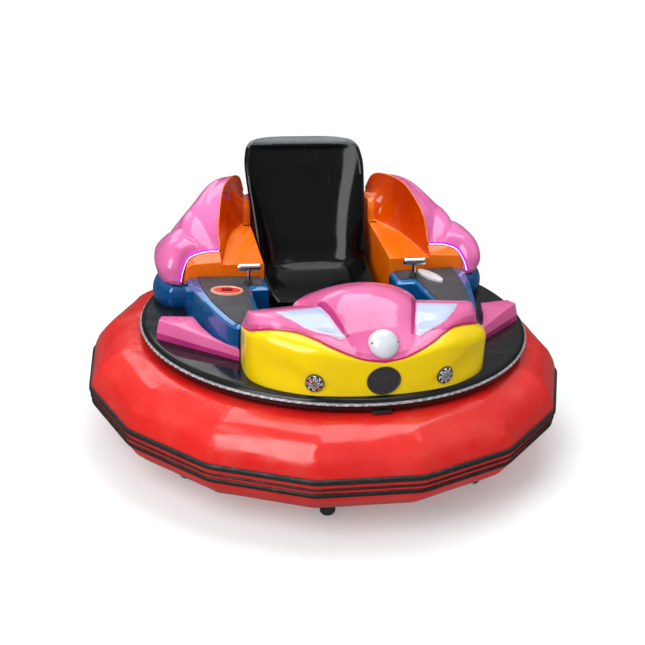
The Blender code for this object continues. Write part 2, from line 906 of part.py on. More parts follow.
def build_controls():
    plate_oval("display", (-0.392, -0.051), 0.054, 0.026, math.radians(-9), 0.007, "chrome")
    plate_oval("side_knob", (0.366, 0.028), 0.076, 0.022, math.radians(-69), 0.012, "chrome")


# Fins between the pods and the nose: front foot x, y; top x, y, height; rear x, y, height
FIN_STATIONS = (
    (0.3940, -0.3655, 0.3940, -0.3590, 0.0355, 0.3960, -0.3345, 0.0355),
    (0.4350, -0.3320, 0.4310, -0.3250, 0.0405, 0.4275, -0.3205, 0.0415),
    (0.4850, -0.2915, 0.4800, -0.2820, 0.0465, 0.4680, -0.2640, 0.0470),
    (0.5300, -0.2545, 0.5240, -0.2440, 0.0520, 0.4935, -0.1990, 0.0510),
    (0.5900, -0.2045, 0.5820, -0.1930, 0.0590, 0.5160, -0.1110, 0.0550),
    (0.6430, -0.1600, 0.6330, -0.1500, 0.0635, 0.6200, -0.1000, 0.0575),
)
# The fold across the front face: share of the height, share of the lean
FIN_FOLD = (0.38, 0.15)


def build_fin(label, sign):
    sections = []
    up, back = FIN_FOLD
    for x0, y0, x1, y1, top, x2, y2, rear in FIN_STATIONS:
        section = [
            (x0, y0, BASE),
            (x0 + (x1 - x0) * back, y0 + (y1 - y0) * back, BASE + top * up),
            (x1, y1, BASE + top),
            (x2, y2, BASE + rear),
            (x2, y2, BASE),
        ]
        sections.append(mirrored(section, sign))
    loops(f"fin_{label}", sections, "pink")


# Wings
# Top edge x, y, height; dish x, y, height; crest x, y, height; belly x, y, height; foot x, y
WING_STATIONS = (
    (0.539, 0.108, 0.098, 0.552, 0.106, 0.1005, 0.566, 0.110, 0.103, 0.578, 0.118, 0.098, 0.572, 0.124),
    (0.531, 0.121, 0.135, 0.552, 0.118, 0.150, 0.585, 0.126, 0.152, 0.606, 0.150, 0.125, 0.596, 0.158),
    (0.503, 0.150, 0.1795, 0.535, 0.155, 0.204, 0.580, 0.180, 0.202, 0.620, 0.215, 0.150, 0.610, 0.225),
    (0.463, 0.163, 0.1935, 0.500, 0.185, 0.222, 0.560, 0.235, 0.225, 0.614, 0.290, 0.165, 0.602, 0.300),
    (0.425, 0.163, 0.199, 0.464, 0.205, 0.208, 0.535, 0.272, 0.240, 0.597, 0.335, 0.170, 0.588, 0.350),
    (0.395, 0.160, 0.2045, 0.440, 0.235, 0.192, 0.512, 0.302, 0.242, 0.574, 0.370, 0.170, 0.568, 0.390),
    (0.392, 0.190, 0.245, 0.440, 0.262, 0.232, 0.496, 0.332, 0.273, 0.548, 0.410, 0.180, 0.543, 0.430),
    (0.385, 0.242, 0.2975, 0.425, 0.305, 0.292, 0.465, 0.380, 0.303, 0.508, 0.455, 0.190, 0.506, 0.475),
    (0.360, 0.350, 0.3565, 0.388, 0.395, 0.354, 0.418, 0.445, 0.338, 0.450, 0.510, 0.200, 0.450, 0.525),
    (0.333, 0.417, 0.3755, 0.352, 0.452, 0.372, 0.373, 0.493, 0.352, 0.394, 0.550, 0.210, 0.394, 0.563),
    (0.298, 0.503, 0.3745, 0.310, 0.526, 0.367, 0.322, 0.555, 0.342, 0.333, 0.590, 0.210, 0.333, 0.598),
    (0.262, 0.556, 0.350, 0.267, 0.572, 0.341, 0.272, 0.588, 0.320, 0.277, 0.606, 0.210, 0.277, 0.612),
)
WING_ROW_STEPS = 2
WING_POINT_STEPS = 3
LEAF_ROW = 5


def wing_rows():
    """The wing's skin: a row of points from its top edge to its foot for each station."""
    rows = []
    for row in WING_STATIONS:
        points = [(x, y, BASE + height) for x, y, height in zip(row[0:12:3], row[1:12:3], row[2:12:3])]
        rows.append([*points, (row[12], row[13], WING_FOOT + GAP)])
    return patch(rows, WING_ROW_STEPS, WING_POINT_STEPS)


def build_wing(label, sign):
    sections = []
    for row in wing_rows():
        points = [tuple(p) for p in row]
        sections.append(mirrored([*points, (points[0][0], points[0][1], WING_FOOT + GAP)], sign))
    loops(f"wing_{label}", sections, "pink")


# Armrest and leaf
ARM_FRONT_Y = 0.1185
ARM_INNER_X = POD_INNER_X - 0.0061
ARM_FRONT_HEIGHT = 0.1595
ARM_SLOPE = 0.137
# Where the leaf starts to rise from the armrest: y, x
LEAF_FOOT = ((0.118, 0.388), (0.187, 0.367), (0.242, 0.355), (0.350, 0.320), (0.417, 0.276), (0.460, 0.246))
# Height over the deck of the inner side behind the armrest: y, height
BACK_RISE = ((0.458, 0.206), (0.476, 0.290), (0.503, 0.322), (0.545, 0.348))
LEAF_STEPS = 6
# The step in front of the leaf: x, front y, back y, height
STEP_STATIONS = (
    (0.3920, 0.1185, 0.1570, 0.188),
    (0.4300, 0.1183, 0.1595, 0.186),
    (0.4630, 0.1180, 0.1605, 0.180),
    (0.4970, 0.1178, 0.1490, 0.164),
    (0.5170, 0.1176, 0.1320, 0.132),
    (0.5260, 0.1175, 0.1230, 0.100),
)


def inner_height(y):
    """Height over the deck of the armrest's inner side."""
    if y < BACK_RISE[0][0]:
        return ARM_FRONT_HEIGHT + ARM_SLOPE * (y - ARM_FRONT_Y)
    return from_table(BACK_RISE, y)


def leaf_section(x, y, top):
    """The armrest's flat, then the leaf curving up to the wing's edge."""
    flat = BASE + inner_height(y)
    start = max(ARM_INNER_X + 0.002, min(from_table(LEAF_FOOT, y), x - 0.004))
    points = [(ARM_INNER_X, y, BASE), (ARM_INNER_X, y, flat)]
    for j in range(LEAF_STEPS + 1):
        angle = math.pi / 2 * j / LEAF_STEPS
        rise = (top - flat) * (1 - math.cos(angle))
        points.append((start + (x - start) * math.sin(angle), y, flat + rise))
    wall = POD_INNER_X - GAP
    return points + [(x, y, WING_FOOT + GAP), (wall, y, WING_FOOT + GAP), (wall, y, BASE)]


def build_wing_inner(label, sign):
    edge = [tuple(row[0]) for row in wing_rows()[LEAF_ROW * WING_ROW_STEPS :]]
    edge = inward(edge, 1.5 * GAP)
    front = (edge[0][0], ARM_FRONT_Y, BASE + ARM_FRONT_HEIGHT + 0.002)
    sections = [leaf_section(*front)]
    for x, y, z in edge[:-1]:
        sections.append(leaf_section(x, y, z - GAP))
    body = loops(f"wing_inner_{label}", [mirrored(s, sign) for s in sections], "orange")
    blocks = []
    for x, front_y, back_y, height in STEP_STATIONS:
        low, high = WING_FOOT + GAP, BASE + height
        section = [(x, front_y, low), (x, front_y, high), (x, back_y, high), (x, back_y, low)]
        blocks.append(mirrored(section, sign))
    unite(body, loops(f"arm_step_{label}", blocks))


# Seat

SHELL_T = 0.010
LIP_R = 0.012
PAN_HEIGHT = 0.025
# Middle line y, height over the deck; half width; how far the sides stand forward; facing y, z
SEAT_STATIONS = (
    (0.056, 0.018, 0.188, 0.006, 0.00, 1.00),
    (0.110, PAN_HEIGHT, 0.205, 0.018, 0.00, 1.00),
    (0.220, PAN_HEIGHT, 0.212, 0.036, 0.00, 1.00),
    (0.320, PAN_HEIGHT, 0.214, 0.058, -0.10, 1.00),
    (0.375, 0.038, 0.215, 0.078, -0.55, 0.83),
    (0.408, 0.075, 0.216, 0.086, -0.85, 0.53),
    (0.440, 0.140, 0.219, 0.082, -0.92, 0.39),
    (0.486, 0.230, 0.226, 0.070, -0.93, 0.37),
    (0.530, 0.320, 0.234, 0.056, -0.94, 0.34),
    (0.566, 0.400, 0.238, 0.044, -0.95, 0.31),
    (0.590, 0.450, 0.230, 0.034, -0.95, 0.30),
    (0.600, 0.478, 0.212, 0.026, -0.93, 0.37),
    (0.602, 0.492, 0.185, 0.020, -0.80, 0.60),
    (0.606, 0.500, 0.140, 0.010, -0.55, 0.83),
)
SEAT_COLUMNS = 16


def seat_section(y, height, half, depth, face_y, face_z):
    """The front of the shell across its width, a round lip at each side, then the back."""
    face = Vector((0, face_y, face_z)).normalized()
    middle = Vector((0, y, BASE + height))
    across = half - LIP_R
    front, back = [], []
    for j in range(SEAT_COLUMNS + 1):
        u = -1 + 2 * j / SEAT_COLUMNS
        lift = depth * abs(u) ** 4
        front.append((u * across, lift))
        thick = SHELL_T + (2 * LIP_R - SHELL_T) * abs(u) ** 4
        back.append((u * across, lift - thick))
    lips = []
    for side in (1, -1):
        for degrees in (45, 0, -45):
            angle = math.radians(side * degrees)
            x = side * (across + LIP_R * math.cos(angle))
            lips.append((x, depth - LIP_R + LIP_R * math.sin(angle)))
    outline = front + lips[:3] + back[::-1] + lips[3:]
    return [middle + Vector((x, 0, 0)) + face * lift for x, lift in outline]


def build_seat():
    loops("seat", [seat_section(*row) for row in SEAT_STATIONS], "seat_black")


SEAT_BOX_HALF = SEAT_STATIONS[1][2] - 0.020
SEAT_BOX_FRONT = TUB_BACK + 0.010
SEAT_BOX_BACK = SEAT_STATIONS[3][0] - 0.020


def build_seat_box():
    low = (-SEAT_BOX_HALF, SEAT_BOX_FRONT, BASE)
    high = (SEAT_BOX_HALF, SEAT_BOX_BACK, BASE + PAN_HEIGHT - SHELL_T - GAP)
    box("seat_box", low, high, "dark_block")


# Back of the body, behind the seat

BACK_HALF = ARM_INNER_X - GAP
BACK_STEPS = 12
COWL_INNER_Y = SEAT_STATIONS[8][0] + 0.026
COWL_R = COWL_INNER_Y + 0.096
BACK_R = COWL_R - 0.003
BACK_FOOT_Y = COWL_INNER_Y - 0.051
# How far inside COWL_R, height over the deck
COWL_SHAPE = (
    (0.024, POD_REAR_TOP + GAP),
    (0.012, 0.100),
    (0.003, 0.125),
    (0.000, 0.155),
    (0.007, 0.220),
    (0.020, 0.262),
    (0.038, 0.283),
    (0.054, 0.290),
)
# y from COWL_INNER_Y, height over the deck
COWL_INSIDE = ((0.004, 0.285), (-0.006, 0.270), (-0.008, 0.235), (-0.008, POD_REAR_TOP + GAP))


def back_row(i):
    return BACK_HALF * (2 * i / BACK_STEPS - 1)


def build_rear_base():
    sections = []
    for i in range(BACK_STEPS + 1):
        x = back_row(i)
        section = [(x, math.sqrt((BACK_R + out) ** 2 - x * x), BASE + height) for height, out in SKIRT_SHAPE]
        section += [(x, BACK_FOOT_Y, BASE + POD_REAR_TOP), (x, BACK_FOOT_Y, BASE)]
        sections.append(section)
    loops("rear_base", sections, "blue")


def build_rear_cowl():
    sections = []
    for i in range(BACK_STEPS + 1):
        x = back_row(i)
        section = [(x, math.sqrt((COWL_R - less) ** 2 - x * x), BASE + height) for less, height in COWL_SHAPE]
        section += [(x, COWL_INNER_Y + y, BASE + height) for y, height in COWL_INSIDE]
        sections.append(section)
    loops("rear_cowl", sections, "pink")


build_ring()
build_deck()
build_tub()
build_chassis()
both(build_drive)
for number, (angle, heading) in enumerate(zip(caster_angles(), CASTER_HEADINGS), 1):
    build_caster(number, angle, heading)
build_nose()
build_hood()
build_nose_fittings()
both(build_fin)
both(build_pod)
both(build_console)
both(build_handle)
build_controls()
both(build_wing)
both(build_wing_inner)
build_seat()
build_seat_box()
build_rear_base()
build_rear_cowl()

for obj in bpy.data.objects:
    if not obj.name.startswith("ring_"):
        obj.location += BODY_SHIFT
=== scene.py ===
"""Looks of the round bumper car: finishes, smooth shells, lights and camera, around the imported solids.

The body's tables repeat those of the solids, in metres, and are drawn here with finer steps.
"""

import math

import bmesh
import bpy
import numpy as np
from mathutils import Matrix, Vector, noise


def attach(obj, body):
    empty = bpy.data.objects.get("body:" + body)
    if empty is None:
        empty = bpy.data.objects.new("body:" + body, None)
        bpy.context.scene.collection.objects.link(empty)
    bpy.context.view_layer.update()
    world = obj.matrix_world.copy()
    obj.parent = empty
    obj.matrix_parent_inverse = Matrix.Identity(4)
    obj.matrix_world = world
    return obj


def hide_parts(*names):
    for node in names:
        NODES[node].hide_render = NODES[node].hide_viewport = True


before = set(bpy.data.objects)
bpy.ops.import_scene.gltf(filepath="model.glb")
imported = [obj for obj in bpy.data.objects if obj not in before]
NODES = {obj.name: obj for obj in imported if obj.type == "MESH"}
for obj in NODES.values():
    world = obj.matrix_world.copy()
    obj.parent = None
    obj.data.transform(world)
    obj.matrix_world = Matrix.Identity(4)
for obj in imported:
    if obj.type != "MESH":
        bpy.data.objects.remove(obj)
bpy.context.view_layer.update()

# Camera, solved from the photograph's frame of 645 x 645 pixels
FRAME_PX = 645
FOCAL_PX = 1000
PRINCIPAL_Y_PX = 322
SENSOR_MM = 36
CAMERA_AT = (-0.7878, -3.2475, 1.8006)
CAMERA_RIGHT = (0.97571644, -0.21544088, 0.03953047)
CAMERA_UP = (0.04877465, 0.3896444, 0.91967292)
CAMERA_BACK = (-0.21353797, -0.8954119, 0.3906905)

# Sizes shared with the solids
GAP = 0.0003
BODY_SHIFT = Vector((0.0247, -0.0046, 0.0))
TUB_X = 0.232
TUB_FRONT = -0.42
TUB_BACK = 0.10
RING_SIDES = 16
RING_TURN = math.radians(-14.31)
RING_HALF_WIDTH = 0.17
RING_HALF_HEIGHT = 0.148
RING_MID_R = math.hypot(TUB_X, TUB_FRONT) + 0.030 + RING_HALF_WIDTH
RING_Z = 0.222
RIM_R = 0.024
DECK_R = 0.663
DECK_T = 0.010
RIM_Z = 0.3995
DECK_TOP = RIM_Z + RIM_R
BASE = DECK_TOP + GAP


def link(obj):
    bpy.context.scene.collection.objects.link(obj)
    return obj


class Nodes:
    """Short calls for building a tree of shader nodes."""

    def __init__(self, tree):
        self.tree = tree

    def node(self, kind, **values):
        made = self.tree.nodes.new(kind)
        for key, value in values.items():
            self.put(made, key.replace("_", " "), value)
        return made

    def put(self, node, socket, value):
        """Sets a socket to a number or colour, or joins it to another node's output."""
        if isinstance(value, bpy.types.NodeSocket):
            self.tree.links.new(value, node.inputs[socket])
        elif isinstance(value, tuple) and len(value) == 3 and node.inputs[socket].type == "RGBA":
            node.inputs[socket].default_value = (*value, 1.0)
        else:
            node.inputs[socket].default_value = value

    def range(self, value, low, high, out_low=0.0, out_high=1.0):
        made = self.node("ShaderNodeMapRange", Value=value)
        made.interpolation_type = "SMOOTHSTEP"
        self.put(made, "From Min", low)
        self.put(made, "From Max", high)
        self.put(made, "To Min", out_low)
        self.put(made, "To Max", out_high)
        return made.outputs["Result"]

    def math(self, operation, a, b):
        made = self.node("ShaderNodeMath")
        made.operation = operation
        self.put(made, 0, a)
        self.put(made, 1, b)
        return made.outputs[0]

    def mix(self, share, a, b):
        """Mixes two colours."""
        made = self.node("ShaderNodeMix")
        made.data_type = "RGBA"
        for index, value in ((0, share), (6, a), (7, b)):
            self.put(made, index, value)
        return made.outputs[2]

    def blend(self, share, a, b):
        """Mixes two shaders."""
        made = self.node("ShaderNodeMixShader")
        for index, value in enumerate((share, a, b)):
            self.put(made, index, value)
        return made.outputs[0]


# Camera, lights and floor


def build_camera():
    data = bpy.data.cameras.new("camera")
    data.sensor_width = SENSOR_MM
    data.lens = SENSOR_MM * FOCAL_PX / FRAME_PX
    data.shift_y = (PRINCIPAL_Y_PX - FRAME_PX / 2) / FRAME_PX
    data.clip_end = 100
    camera = link(bpy.data.objects.new("camera", data))
    turn = Matrix((CAMERA_RIGHT, CAMERA_UP, CAMERA_BACK)).transposed()
    camera.matrix_world = Matrix.Translation(CAMERA_AT) @ turn.to_4x4()
    bpy.context.scene.camera = camera


def area_light(name, at, aim, width, height, power):
    data = bpy.data.lights.new(name, "AREA")
    data.shape = "RECTANGLE"
    data.size = width
    data.size_y = height
    data.energy = power
    lamp = link(bpy.data.objects.new(name, data))
    lamp.location = at
    lamp.rotation_euler = (Vector(aim) - Vector(at)).to_track_quat("-Z", "Y").to_euler()


# name, place, aim, width, height, power
LAMPS = (
    ("key", (-2.3, -2.3, 2.9), (0, 0, 0.4), 2.2, 2.6, 90),
    ("fill", (1.7, -1.7, 3.9), (0, 0, 0.4), 1.2, 1.0, 3),
    ("top", (0.3, 0.5, 3.9), (0, 0.1, 0.4), 3.2, 2.8, 80),
    ("back", (-0.9, 3.2, 2.9), (0, 0, 0.5), 2.4, 1.2, 14),
)


def build_lights():
    for lamp in LAMPS:
        area_light(*lamp)


def build_world():
    """White where the camera looks; reflections see a dim room that is lighter toward the ceiling."""
    world = bpy.data.worlds.new("studio")
    bpy.context.scene.world = world
    world.use_nodes = True
    world.node_tree.nodes.clear()
    made = Nodes(world.node_tree)
    rays = made.node("ShaderNodeLightPath").outputs
    way = made.node("ShaderNodeTexCoord").outputs["Generated"]
    up = made.node("ShaderNodeSeparateXYZ", Vector=way).outputs["Z"]
    ceiling = made.range(up, 0.10, 0.75, 0.07, 0.45)
    plain, room, seen = (
        made.node("ShaderNodeBackground", Color=(1, 1, 1), Strength=strength).outputs[0]
        for strength in (0.52, ceiling, 1.0)
    )
    mirrored = made.math("MAXIMUM", rays["Is Glossy Ray"], rays["Is Transmission Ray"])
    light = made.blend(mirrored, plain, room)
    made.node("ShaderNodeOutputWorld", Surface=made.blend(rays["Is Camera Ray"], light, seen))
    bpy.context.scene.view_settings.view_transform = "Standard"


def build_floor():
    """A pale floor that keeps the car's shadow and goes to plain white further out."""
    bpy.ops.mesh.primitive_plane_add(size=80)
    floor = bpy.context.object
    floor.name = "floor"
    floor.location.z = -0.0005
    white = bpy.data.materials.new("floor_white")
    white.use_nodes = True
    made = Nodes(white.node_tree)
    near = made.tree.nodes["Principled BSDF"]
    made.put(near, "Base Color", (0.80, 0.86, 0.87))
    made.put(near, "Roughness", 0.9)
    made.put(near, "Specular IOR Level", 0.1)
    made.put(near, "Emission Color", (1, 1, 1))
    made.put(near, "Emission Strength", 0.22)
    rays = made.node("ShaderNodeLightPath").outputs
    away = made.node("ShaderNodeVectorMath", Vector=made.node("ShaderNodeTexCoord").outputs["Object"])
    away.operation = "LENGTH"
    far = made.range(away.outputs["Value"], 1.2, 2.6)
    seen = made.blend(far, near.outputs[0], made.node("ShaderNodeEmission").outputs[0])
    dim = made.node("ShaderNodeEmission", Strength=made.range(rays["Is Glossy Ray"], 0, 1, 0.75, 0.12))
    shown = made.blend(rays["Is Camera Ray"], dim.outputs[0], seen)
    made.put(made.tree.nodes["Material Output"], "Surface", shown)
    floor.data.materials.append(white)


# Finishes


class Finish(Nodes):
    """A material's nodes round its one shader."""

    def __init__(self, name, roughness=0.3, metallic=0.0, coat=0.0, specular=0.5):
        self.made = bpy.data.materials.new(name)
        self.made.use_nodes = True
        super().__init__(self.made.node_tree)
        self.shader = self.tree.nodes["Principled BSDF"]
        self.put(self.shader, "Roughness", roughness)
        self.put(self.shader, "Metallic", metallic)
        self.put(self.shader, "Coat Weight", coat)
        self.put(self.shader, "Coat Roughness", 0.04)
        self.put(self.shader, "Specular IOR Level", specular)
        self.where = self.node("ShaderNodeTexCoord").outputs["Object"]

    def noise(self, scale, detail=2.0, stretch=(1, 1, 1)):
        at = self.node("ShaderNodeMapping", Vector=self.where, Scale=stretch).outputs[0]
        return self.node("ShaderNodeTexNoise", Vector=at, Scale=scale, Detail=detail).outputs["Fac"]

    def cells(self, scale):
        return self.node("ShaderNodeTexVoronoi", Vector=self.where, Scale=scale).outputs["Distance"]

    def clouds(self, low, high, scale, detail=2.0, stretch=(1, 1, 1), out_low=0.0, out_high=1.0):
        """Noise whose values from low to high are spread over the range that comes out."""
        return self.range(self.noise(scale, detail, stretch), low, high, out_low, out_high)

    def times(self, a, b):
        return self.math("MULTIPLY", a, b)

    def colour(self, value):
        self.put(self.shader, "Base Color", value)

    def rough(self, value):
        self.put(self.shader, "Roughness", value)

    def bump(self, height, strength, distance):
        made = self.node("ShaderNodeBump", Height=height, Strength=strength, Distance=distance)
        if self.shader.inputs["Normal"].is_linked:
            self.put(made, "Normal", self.shader.inputs["Normal"].links[0].from_socket)
        self.put(self.shader, "Normal", made.outputs[0])

    def glow(self, colour, strength):
        self.put(self.shader, "Emission Color", colour)
        self.put(self.shader, "Emission Strength", strength)


def scaled(colour, factor):
    return tuple(min(1.0, c * factor) for c in colour)


def gel_coat(name, colour, deep=None, flake=0.0, roughness=0.10, metallic=0.0, coat=0.5, scuffs=0.5):
    """Sprayed and polished glass-fibre: colour clouds, orange peel, fine flake, dust and small scuffs."""
    made = Finish(name, roughness, metallic, coat)
    base = made.mix(made.clouds(0.32, 0.68, 5, 3), deep or scaled(colour, 0.80), colour)
    if flake:
        spark = made.range(made.cells(520), 0.10, 0.02)
        base = made.mix(made.times(spark, flake), base, (1.0, 0.93, 1.0))
    scuff = made.times(made.clouds(0.66, 0.80, 38, 5, (1, 1, 0.35)), made.clouds(0.45, 0.65, 3.1))
    worn = made.times(scuff, scuffs * 0.35)
    base = made.mix(worn, base, scaled(colour, 0.45))
    speck = made.times(made.range(made.cells(75), 0.085, 0.055), made.clouds(0.60, 0.68, 9))
    made.colour(made.mix(made.times(speck, 0.45), base, (0.05, 0.03, 0.02)))
    smear = made.clouds(0.35, 0.75, 11, 4, out_low=roughness, out_high=roughness + 0.12)
    made.rough(made.math("ADD", smear, made.times(worn, 0.5)))
    made.bump(made.noise(70), 0.10, 0.0015)
    made.bump(made.noise(9), 0.10, 0.006)
    return made.made


def flexible_pvc():
    """Coated fabric: fine weave, pale rub marks along the girth, and darker towards the bottom."""
    made = Finish("red_pvc", 0.2, coat=0.30)
    height = made.node("ShaderNodeSeparateXYZ", Vector=made.where).outputs["Z"]
    base = made.mix(made.clouds(0.3, 0.7, 3, 4), (0.68, 0.013, 0.011), (0.78, 0.019, 0.015))
    faded = made.times(made.clouds(0.48, 0.75, 6, 5, (1, 1, 2)), 0.35)
    base = made.mix(faded, base, (0.80, 0.075, 0.05))
    rubs = made.clouds(0.64, 0.80, 17, 6, (1, 1, 3.5))
    low = made.times(made.range(height, 0.26, 0.17), 0.55)
    base = made.mix(made.times(rubs, low), base, (0.16, 0.02, 0.015))
    # Darker towards the bottom of the ring, in patches.
    low_darkening = made.times(made.range(height, 0.16, 0.09), made.clouds(0.3, 0.7, 8, 4, out_low=0.2, out_high=0.8))
    made.colour(made.mix(low_darkening, base, (0.20, 0.03, 0.022)))
    made.rough(made.clouds(0.3, 0.8, 14, 4, out_low=0.15, out_high=0.36))
    made.bump(made.noise(620, 1), 0.10, 0.0004)
    made.bump(made.noise(26, 3, (1, 1, 0.5)), 0.16, 0.003)
    made.bump(made.noise(7, 2, (1, 1, 0.7)), 0.22, 0.010)
    return made.made


def rubber(name, colour=(0.018, 0.019, 0.019), roughness=0.42):
    made = Finish(name, roughness, specular=0.4)
    grey = made.times(made.clouds(0.52, 0.78, 45, 5, (1, 1, 6)), 0.5)
    made.colour(made.mix(grey, colour, (0.10, 0.095, 0.09)))
    made.rough(made.clouds(0.3, 0.7, 20, 3, out_low=roughness - 0.08, out_high=roughness + 0.2))
    made.bump(made.noise(160, 3), 0.25, 0.0008)
    return made.made


def black_gloss():
    """Black gel coat of the deck: fine scratches, specks of grit and dull patches."""
    made = Finish("deck_black", 0.12, specular=0.35)
    along = made.clouds(0.66, 0.74, 30, 6, (0.25, 5, 1))
    across = made.clouds(0.67, 0.75, 30, 6, (5, 0.3, 1))
    scratches = made.times(made.math("MAXIMUM", along, across), 0.16)
    base = made.mix(scratches, (0.006, 0.007, 0.008), (0.30, 0.30, 0.29))
    grit = made.times(made.range(made.cells(120), 0.10, 0.05), made.clouds(0.58, 0.66, 14))
    made.colour(made.mix(made.times(grit, 0.6), base, (0.32, 0.30, 0.27)))
    made.rough(made.clouds(0.35, 0.75, 6, 5, out_low=0.08, out_high=0.30))
    made.bump(made.noise(50), 0.08, 0.001)
    return made.made


def seat_gloss():
    made = Finish("seat_black", 0.09, specular=0.28)
    hair = made.times(made.clouds(0.66, 0.74, 24, 6, (6, 0.4, 0.4)), 0.10)
    made.colour(made.mix(hair, (0.0012, 0.0015, 0.002), (0.16, 0.16, 0.17)))
    made.rough(made.clouds(0.35, 0.75, 5, 4, out_low=0.07, out_high=0.20))
    made.bump(made.noise(60), 0.05, 0.001)
    made.bump(made.noise(5, 1), 0.10, 0.008)
    return made.made


def console_sheet():
    """Dark grey anti-slip sheet with a fine speckle."""
    made = Finish("console_grey", 0.55, specular=0.35)
    base = made.mix(made.clouds(0.35, 0.65, 330), (0.030, 0.033, 0.038), (0.066, 0.070, 0.080))
    rubbed = made.times(made.clouds(0.5, 0.75, 16, 4), 0.5)
    made.colour(made.mix(rubbed, base, (0.085, 0.088, 0.095)))
    made.rough(made.clouds(0.3, 0.7, 22, 3, out_low=0.42, out_high=0.66))
    made.bump(made.cells(260), 0.35, 0.0009)
    return made.made


def chrome():
    made = Finish("chrome", 0.08, metallic=1.0)
    made.colour(made.mix(made.clouds(0.55, 0.75, 30, 4), (0.80, 0.80, 0.80), (0.52, 0.50, 0.47)))
    made.rough(made.clouds(0.4, 0.75, 60, 4, out_low=0.05, out_high=0.24))
    made.bump(made.noise(120), 0.04, 0.0004)
    return made.made


def painted_steel(name, colour, rust=0.5):
    made = Finish(name, 0.45, metallic=0.2)
    base = made.mix(made.clouds(0.3, 0.7, 9, 3), scaled(colour, 0.8), colour)
    made.colour(made.mix(made.times(made.clouds(0.60, 0.70, 34, 6), rust), base, (0.17, 0.055, 0.018)))
    made.rough(made.clouds(0.3, 0.7, 20, 4, out_low=0.35, out_high=0.7))
    made.bump(made.noise(90, 3), 0.25, 0.0008)
    return made.made


def block_plastic(name, colour=(0.035, 0.035, 0.04)):
    made = Finish(name, 0.5, specular=0.35)
    base = made.mix(made.clouds(0.4, 0.7, 40, 5), colour, scaled(colour, 1.8))
    made.colour(made.mix(made.times(made.clouds(0.5, 0.8, 7, 5), 0.25), base, (0.16, 0.14, 0.12)))
    made.bump(made.noise(220), 0.3, 0.0006)
    return made.made


def lit(name, colour, strength, base):
    """A lit lens or diode, with a little unevenness along it."""
    made = Finish(name, 0.25)
    made.colour(made.mix(made.clouds(0.3, 0.7, 60), base, scaled(base, 0.8)))
    made.glow(colour, strength)
    return made.made


def diode_chips():
    """Small diodes whose tint drifts from white to violet and orange along the strip."""
    made = Finish("diode_chips", 0.2)
    cool = made.clouds(0.48, 0.60, 6.5, 3, (1.3, 0.8, 1))
    tint = made.mix(cool, (0.62, 0.63, 0.66), (0.45, 0.42, 0.70))
    tint = made.mix(made.clouds(0.50, 0.62, 5), tint, (0.70, 0.55, 0.48))
    made.colour(tint)
    made.glow(tint, 0.25)
    return made.made


def strip_cover():
    """Milky silicone over the diodes, dusty, seen dark between them."""
    made = Finish("strip_cover", 0.22, coat=0.4)
    made.colour(made.mix(made.clouds(0.4, 0.65, 80, 4), (0.26, 0.26, 0.27), (0.46, 0.46, 0.48)))
    made.bump(made.noise(130), 0.2, 0.0006)
    return made.made


def lamp_shell():
    made = Finish("lamp_white", 0.16, coat=0.3)
    made.colour(made.mix(made.clouds(0.45, 0.75, 12, 4), (0.66, 0.71, 0.77), (0.56, 0.60, 0.64)))
    made.bump(made.noise(40), 0.05, 0.001)
    return made.made


def panel_film():
    """Pale lavender lens panel, milky with soft cloudy patches."""
    made = Finish("panel_lens", 0.14, coat=0.4)
    made.colour(made.mix(made.clouds(0.35, 0.7, 9, 3), (0.42, 0.49, 0.70), (0.53, 0.60, 0.80)))
    made.rough(made.clouds(0.3, 0.7, 30, 3, out_low=0.10, out_high=0.26))
    return made.made


